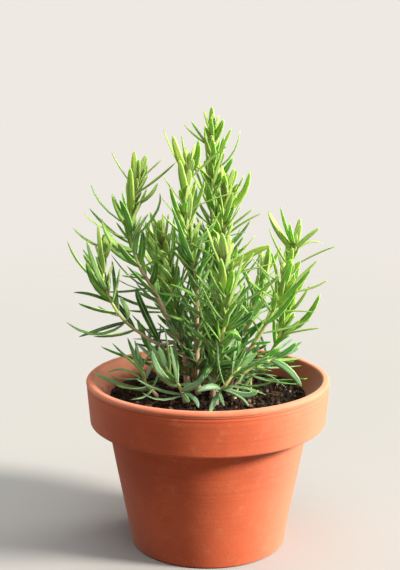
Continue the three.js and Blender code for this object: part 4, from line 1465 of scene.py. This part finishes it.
@functools.cache
def clay_finish():
    """Fired clay: mottled, with painted shade on its shaded side and painted light on its lit side, grit,
    lime, a lip paled by wear and a painted highlight, and a chalky inside with soil staining that painted
    shade carries higher on the shaded side.
    """
    pot = pot_sizes()
    material, tree, shader = new_material(
        "fired_clay", Specular_IOR_Level=0.22, Sheen_Weight=0.25, Sheen_Roughness=0.5)
    shader.inputs["Sheen Tint"].default_value = (1.0, 0.9, 0.72, 1)
    place = object_place(tree)
    parts = node(tree, "ShaderNodeSeparateXYZ", {"Vector": place}).outputs

    def ramp(value, ends, to_low=0.0, to_high=1.0, above=0.0):
        """A range of millimetres spread over another."""
        low, high = ((above + end) * MM for end in ends)
        return between(tree, value, low, high, to_low, to_high)

    mottle = use_effect(tree, mottle_effect(), {
        "Vector": place, "Scale": 24.0, "Main": paint("clay"), "Deep": paint("clay_deep"),
        "Pale": paint("clay_pale")})
    mild = blend(tree, 0.6, mottle["Color"], paint("clay"))
    # Painted shade darkens the shaded left side of the pot, and painted light pales its lit right side.
    painted_shade_side = blend(tree, ramp(parts["X"], SHADE_SIDE, 0.5, 0.0), mild, paint("clay_deep"))
    painted_light_side = blend(tree, ramp(parts["X"], LIT_SIDE, 0.0, 0.65), painted_shade_side, paint("clay_pale"))
    turning = cloud(tree, stretched(tree, place, (3.0, 3.0, 520.0)), 1.0, 3.0, 0.7)
    lined = blend(tree, between(tree, turning, 0.45, 0.75, 0.0, 0.22), painted_light_side, paint("clay_deep"))
    grit = use_effect(tree, specks_effect(), {"Vector": place, "Scale": 620.0, "Share": 0.16})["Mask"]
    dotted = blend(tree, maths(tree, "MULTIPLY", grit, 0.5), lined, GRIT_TONE)
    lime = use_effect(tree, specks_effect(), {"Vector": place, "Scale": 420.0, "Share": 0.03})["Mask"]
    limed = blend(tree, maths(tree, "MULTIPLY", lime, 0.22), dotted, LIME_TONE)

    patches = cloud(tree, place, 55.0, 5.0, 0.6)
    # The lip's bead is paled in patches by wear and by a painted highlight where light falls on its top.
    lip = ramp(parts["Z"], WORN_AND_LIT_LIP, above=pot["height"])
    worn_and_lit = maths(tree, "MULTIPLY", lip, between(tree, patches, 0.3, 0.65, 0.25, 0.6))
    edged = blend(tree, worn_and_lit, limed, paint("clay_pale"))

    flat = node(tree, "ShaderNodeCombineXYZ", {"X": parts["X"], "Y": parts["Y"]}).outputs[0]
    out = node(tree, "ShaderNodeVectorMath", {0: flat}, operation="LENGTH").outputs["Value"]
    inside = ramp(out, CUP_EDGE, above=LIP_INNER_RADIUS)
    cup = maths(tree, "MULTIPLY", inside, ramp(parts["Z"], CUP_FLOOR, above=pot["neck"]))
    chalky = blend(tree, maths(tree, "MULTIPLY", cup, CHALK_SHARE), edged, paint("clay_pale"))
    # Soil staining near the soil line, carried higher on the shaded right side as painted shade.
    ragged = maths(tree, "ADD", parts["Z"], maths(tree, "MULTIPLY", patches, STAIN_AND_SHADE["ragged"] * MM))
    shade_climbing = maths(tree, "SUBTRACT", ragged, ramp(parts["X"], STAIN_AND_SHADE["side"], 0.0, STAIN_AND_SHADE["climb"] * MM))
    low = ramp(shade_climbing, STAIN_AND_SHADE["heights"], 1.0, 0.0, above=pot["soil"])
    stain_and_shade = maths(tree, "MULTIPLY", maths(tree, "MULTIPLY", cup, low), STAIN_AND_SHADE["share"])
    stained_and_shaded = blend(tree, stain_and_shade, chalky, paint("damp_and_shade"))

    grain = use_effect(tree, grain_effect(), {"Vector": place, "Scale": 420.0})["Height"]
    height = maths(tree, "ADD", grain, maths(tree, "MULTIPLY", turning, 0.9))
    pitted = maths(tree, "SUBTRACT", height, maths(tree, "MULTIPLY", grit, 0.5))
    rough = between(tree, mottle["Mask"], 0.3, 0.7, 0.72, 0.9)
    finish(tree, shader, stained_and_shaded, rough, pitted, RELIEF["clay"])
    return material


@functools.cache
def soil_finish():
    """Damp potting soil: near black, with brown crumbs, fibres and a few pale flecks."""
    material, tree, shader = new_material("potting_soil", Specular_IOR_Level=0.25)
    place = object_place(tree)
    chance = attribute(tree, "chance")
    mottle = use_effect(tree, mottle_effect(), {
        "Vector": place, "Scale": 90.0, "Main": paint("soil"), "Deep": paint("soil", 0.4),
        "Pale": paint("soil_brown")})
    brown = between(tree, chance, 0.6, 1.0, 0.0, 0.75)
    tinted = blend(tree, brown, mottle["Color"], paint("soil_brown"))
    fibre = cloud(tree, stretched(tree, place, (900.0, 160.0, 400.0)), 1.0, 3.0)
    threaded = blend(tree, between(tree, fibre, 0.66, 0.74, 0.0, 0.35), tinted, paint("chip"))
    flecked = blend(tree, between(tree, chance, 0.93, 0.97, 0.0, 0.7), threaded, FLECK_TONE)
    grain = use_effect(tree, grain_effect(), {"Vector": place, "Scale": 620.0})["Height"]
    rough = between(tree, mottle["Mask"], 0.3, 0.7, 0.82, 0.98)
    finish(tree, shader, flecked, rough, grain, RELIEF["soil"])
    return material


@functools.cache
def chip_finish():
    """Dry bark, straw and needles."""
    material, tree, shader = new_material("dry_litter", Specular_IOR_Level=0.25)
    place = object_place(tree)
    streak = cloud(tree, stretched(tree, place, (260.0, 700.0, 700.0)), 1.0, 4.0, 0.65)
    base = blend(tree, between(tree, streak, 0.3, 0.7), paint("soil_brown"), paint("chip"))
    dirty = between(tree, attribute(tree, "chance"), 0.2, 0.9, 0.65, 0.0)
    tinted = blend(tree, dirty, base, paint("soil"))
    grain = use_effect(tree, grain_effect(), {"Vector": place, "Scale": 800.0})["Height"]
    finish(tree, shader, tinted, between(tree, streak, 0.3, 0.7, 0.7, 0.95), grain, RELIEF["litter"])
    return material


@functools.cache
def bark_finish():
    """Stems: flaking tan bark at the foot, through ripening wood, to downy green at the tips."""
    material, tree, shader = new_material("stem_bark", Specular_IOR_Level=0.3, Sheen_Weight=0.2)
    place = object_place(tree)
    age = attribute(tree, "age")
    streak = cloud(tree, stretched(tree, place, (900.0, 900.0, 110.0)), 1.0, 5.0, 0.7)
    old = blend(tree, between(tree, streak, 0.36, 0.62), paint("bark", 0.7), paint("bark"))
    ripe = blend(tree, between(tree, streak, 0.4, 0.7, 0.0, 0.5), paint("twig"), paint("bark"))
    wood = blend(tree, between(tree, age, 0.35, 0.85), ripe, old)
    base = blend(tree, between(tree, age, 0.02, 0.4), paint("shoot"), wood)
    scars = cloud(tree, stretched(tree, place, (420.0, 420.0, 900.0)), 1.0, 2.0)
    marked = blend(tree, between(tree, scars, 0.62, 0.72, 0.0, 0.4), base, paint("soil_brown"))
    grain = use_effect(tree, grain_effect(), {"Vector": place, "Scale": 900.0})["Height"]
    height = maths(tree, "ADD", maths(tree, "MULTIPLY", streak, 1.2), grain)
    finish(tree, shader, marked, between(tree, age, 0.0, 0.8, 0.55, 0.92), height, RELIEF["bark"])
    return material


@functools.cache
def leaf_finish():
    """Needle leaves: green above with a pale midline and margins, pale felt below, dry dark tips on some,
    and painted shade towards the tips of grown leaves.
    """
    material, tree, shader = new_material(
        "rosemary_leaf", Specular_IOR_Level=0.35, Subsurface_Weight=0.8, Subsurface_Scale=2.4 * MM)
    shader.inputs["Subsurface Radius"].default_value = (0.5, 1.0, 0.2)
    place = object_place(tree)
    youth, chance = attribute(tree, "youth"), attribute(tree, "chance")
    along, across, under = attribute(tree, "along"), attribute(tree, "across"), attribute(tree, "under")

    patch = cloud(tree, place, 120.0, 3.0)
    ripe = maths(tree, "ADD", youth, between(tree, patch, 0.3, 0.7, -0.12, 0.12))
    grown_up = blend(tree, between(tree, ripe, 0.0, 0.45), paint("leaf_old"), paint("leaf_mid"))
    green = blend(tree, between(tree, ripe, 0.35, 0.85), grown_up, paint("leaf_young"))
    varied = blend(tree, between(tree, chance, 0.55, 1.0, 0.0, 0.3), green, paint("leaf_young"))
    cool = blend(tree, between(tree, chance, 0.0, 0.4, 0.3, 0.0), varied, paint("leaf_old"))

    glands = use_effect(tree, specks_effect(), {"Vector": place, "Scale": 1900.0, "Share": 0.4})["Mask"]
    dotted = blend(tree, maths(tree, "MULTIPLY", glands, 0.14), cool, paint("leaf_felt"))
    ribbed = blend(tree, between(tree, across, 0.03, 0.22, 0.85, 0.0), dotted, paint("leaf_felt"))
    edged = blend(tree, between(tree, across, 0.72, 0.96, 0.0, 0.7), ribbed, paint("leaf_felt"))
    downy = blend(tree, 0.72, paint("leaf_felt"), cool)
    felt = blend(tree, between(tree, across, 0.0, 0.3, 0.55, 0.0), downy, RIB_TONE)
    faced = blend(tree, between(tree, under, 0.35, 0.65), edged, felt)

    # Painted shade: grown leaves darken towards their tips, as edge-on leaves in shade do.
    grown_leaf = between(tree, youth, 0.75, 0.35, 0.0, 0.6)
    painted_tip_shade = maths(tree, "MULTIPLY", between(tree, along, 0.45, 1.0), grown_leaf)
    darker = blend(tree, painted_tip_shade, faced, paint("leaf_old"))
    dry = maths(tree, "MULTIPLY", between(tree, along, 0.88, 1.0), between(tree, chance, 0.5, 0.6))
    tipped = blend(tree, maths(tree, "MULTIPLY", dry, 0.55), darker, DRY_TIP_TONE)
    silvered = blend(tree, attribute(tree, "silver"), tipped, paint("leaf_silver"))

    wrinkle = cloud(tree, place, 1500.0, 2.0, 0.6)
    height = maths(tree, "ADD", wrinkle, maths(tree, "MULTIPLY", glands, 0.4))
    finish(tree, shader, silvered, between(tree, under, 0.3, 0.7, 0.48, 0.88), height, RELIEF["leaf"])
    return material


# Stage

def make_floor():
    """A round floor that fades out into the pale surround, and is darker to light than to the camera."""
    deselect()
    bpy.ops.mesh.primitive_circle_add(vertices=96, radius=FLOOR_REACH, fill_type="TRIFAN")
    floor = named(bpy.context.object, "floor")
    bpy.ops.object.mode_set(mode="EDIT")
    bpy.ops.mesh.select_all(action="SELECT")
    bpy.ops.mesh.subdivide(number_cuts=2)
    bpy.ops.object.mode_set(mode="OBJECT")
    material, tree, shader = new_material("pale_floor", Roughness=0.9)
    place = object_place(tree)
    patch = between(tree, cloud(tree, place, 3.0, 2.0), 0.3, 0.7)
    base = blend(tree, patch, (*FLOOR_TONE, 1), (*(FLOOR_UNEVEN * part for part in FLOOR_TONE), 1))
    dim = blend(tree, FLOOR_DIM, base, (0, 0, 0, 1))
    direct = node(tree, "ShaderNodeLightPath").outputs["Is Camera Ray"]
    tree.links.new(blend(tree, direct, dim, base), shader.inputs["Base Color"])
    out = node(tree, "ShaderNodeVectorMath", {0: place}, operation="LENGTH").outputs["Value"]
    fade = between(tree, out, *(share * FLOOR_REACH for share in FLOOR_FADE), 1.0, 0.0)
    tree.links.new(fade, shader.inputs["Alpha"])
    floor.data.materials.append(material)


def sun_light(name, place, spread, strength, tone):
    """A soft light from far away on one side, as even on the floor as on the plant."""
    light = bpy.data.lights.new(name, "SUN")
    light.angle = math.radians(spread)
    light.energy = strength
    light.color = tone
    lamp = bpy.data.objects.new(name, light)
    lamp.rotation_euler = (-Vector(place)).to_track_quat("-Z", "Y").to_euler()
    bpy.context.scene.collection.objects.link(lamp)


def make_world():
    """An even weak light from all sides, and the pale surround that the camera sees."""
    world = bpy.data.worlds.new("studio")
    bpy.context.scene.world = world
    world.use_nodes = True
    tree = world.node_tree
    back = tree.nodes["Background"]
    fill(tree, back, {"Color": AMBIENT_TONE, "Strength": AMBIENT_STRENGTH})
    seen = node(tree, "ShaderNodeBackground", {"Color": (*SURROUND_TONE, 1), "Strength": 1.0}).outputs[0]
    direct = node(tree, "ShaderNodeLightPath").outputs["Is Camera Ray"]
    both = node(tree, "ShaderNodeMixShader", {0: direct, 1: back.outputs[0], 2: seen}).outputs[0]
    tree.links.new(both, tree.nodes["World Output"].inputs["Surface"])


def make_camera():
    camera = bpy.data.cameras.new("camera")
    camera.sensor_width = 36
    camera.lens = CAMERA_LENS
    holder = bpy.data.objects.new("camera", camera)
    holder.location = [part * MM for part in CAMERA_PLACE]
    holder.rotation_euler = (math.radians(90 - CAMERA_DIP), 0, 0)
    bpy.context.scene.collection.objects.link(holder)
    bpy.context.scene.camera = holder


def make_stage():
    make_floor()
    for light in LIGHTS:
        sun_light(*light)
    make_world()
    make_camera()
    view = bpy.context.scene.view_settings
    view.view_transform = "Standard"
    view.look = "None"


# Operators, panel and the run

class ROSEMARY_OT_pot(bpy.types.Operator):
    """Turns the clay pot with its band, lip and drain holes."""
    bl_idname = "rosemary.pot"
    bl_label = "Make pot"

    def execute(self, context):
        make_pot()
        return {"FINISHED"}


class ROSEMARY_OT_soil(bpy.types.Operator):
    """Fills the pot with lumpy soil."""
    bl_idname = "rosemary.soil"
    bl_label = "Make soil"

    def execute(self, context):
        make_soil()
        return {"FINISHED"}


class ROSEMARY_OT_litter(bpy.types.Operator):
    """Strews crumbs, chips and straws on the soil."""
    bl_idname = "rosemary.litter"
    bl_label = "Strew litter"

    def execute(self, context):
        make_litter()
        return {"FINISHED"}


class ROSEMARY_OT_wall_specks(bpy.types.Operator):
    """Sticks crumbs to the pot's inside."""
    bl_idname = "rosemary.wall_specks"
    bl_label = "Add wall specks"

    def execute(self, context):
        make_wall_specks()
        return {"FINISHED"}


class ROSEMARY_OT_stems(bpy.types.Operator):
    """Makes the wood of each stem."""
    bl_idname = "rosemary.stems"
    bl_label = "Make stems"

    def execute(self, context):
        make_stems()
        return {"FINISHED"}


class ROSEMARY_OT_leaves(bpy.types.Operator):
    """Makes the leaves of each stem."""
    bl_idname = "rosemary.leaves"
    bl_label = "Make leaves"

    def execute(self, context):
        make_leaves()
        return {"FINISHED"}


class ROSEMARY_OT_stage(bpy.types.Operator):
    """Adds the floor, lights and camera."""
    bl_idname = "rosemary.stage"
    bl_label = "Set stage"

    def execute(self, context):
        make_stage()
        return {"FINISHED"}


OPERATORS = [
    ROSEMARY_OT_pot,
    ROSEMARY_OT_soil,
    ROSEMARY_OT_litter,
    ROSEMARY_OT_wall_specks,
    ROSEMARY_OT_stems,
    ROSEMARY_OT_leaves,
    ROSEMARY_OT_stage,
]


class ROSEMARY_PT_panel(bpy.types.Panel):
    """Lists the sizes, the colours and the steps."""
    bl_idname = "ROSEMARY_PT_panel"
    bl_label = "Potted Rosemary"
    bl_space_type = "VIEW_3D"
    bl_region_type = "UI"
    bl_category = "Rosemary"

    def draw(self, context):
        for group in (context.scene.pot_sizes, context.scene.plant_sizes, context.scene.plant_colours):
            box = self.layout.box()
            for name in type(group).__annotations__:
                box.prop(group, name)
        for step in OPERATORS:
            self.layout.operator(step.bl_idname)


CLASSES = [PotSizes, PlantSizes, PlantColours, *OPERATORS, ROSEMARY_PT_panel]


def register():
    for item in CLASSES:
        bpy.utils.register_class(item)
    bpy.types.Scene.pot_sizes = PointerProperty(type=PotSizes)
    bpy.types.Scene.plant_sizes = PointerProperty(type=PlantSizes)
    bpy.types.Scene.plant_colours = PointerProperty(type=PlantColours)


def unregister():
    del bpy.types.Scene.plant_colours
    del bpy.types.Scene.plant_sizes
    del bpy.types.Scene.pot_sizes
    for item in reversed(CLASSES):
        bpy.utils.unregister_class(item)


def main():
    register()
    bpy.ops.rosemary.pot()
    bpy.ops.rosemary.soil()
    bpy.ops.rosemary.litter()
    bpy.ops.rosemary.wall_specks()
    bpy.ops.rosemary.stems()
    bpy.ops.rosemary.leaves()
    bpy.ops.rosemary.stage()


if __name__ == "__main__":
    main()
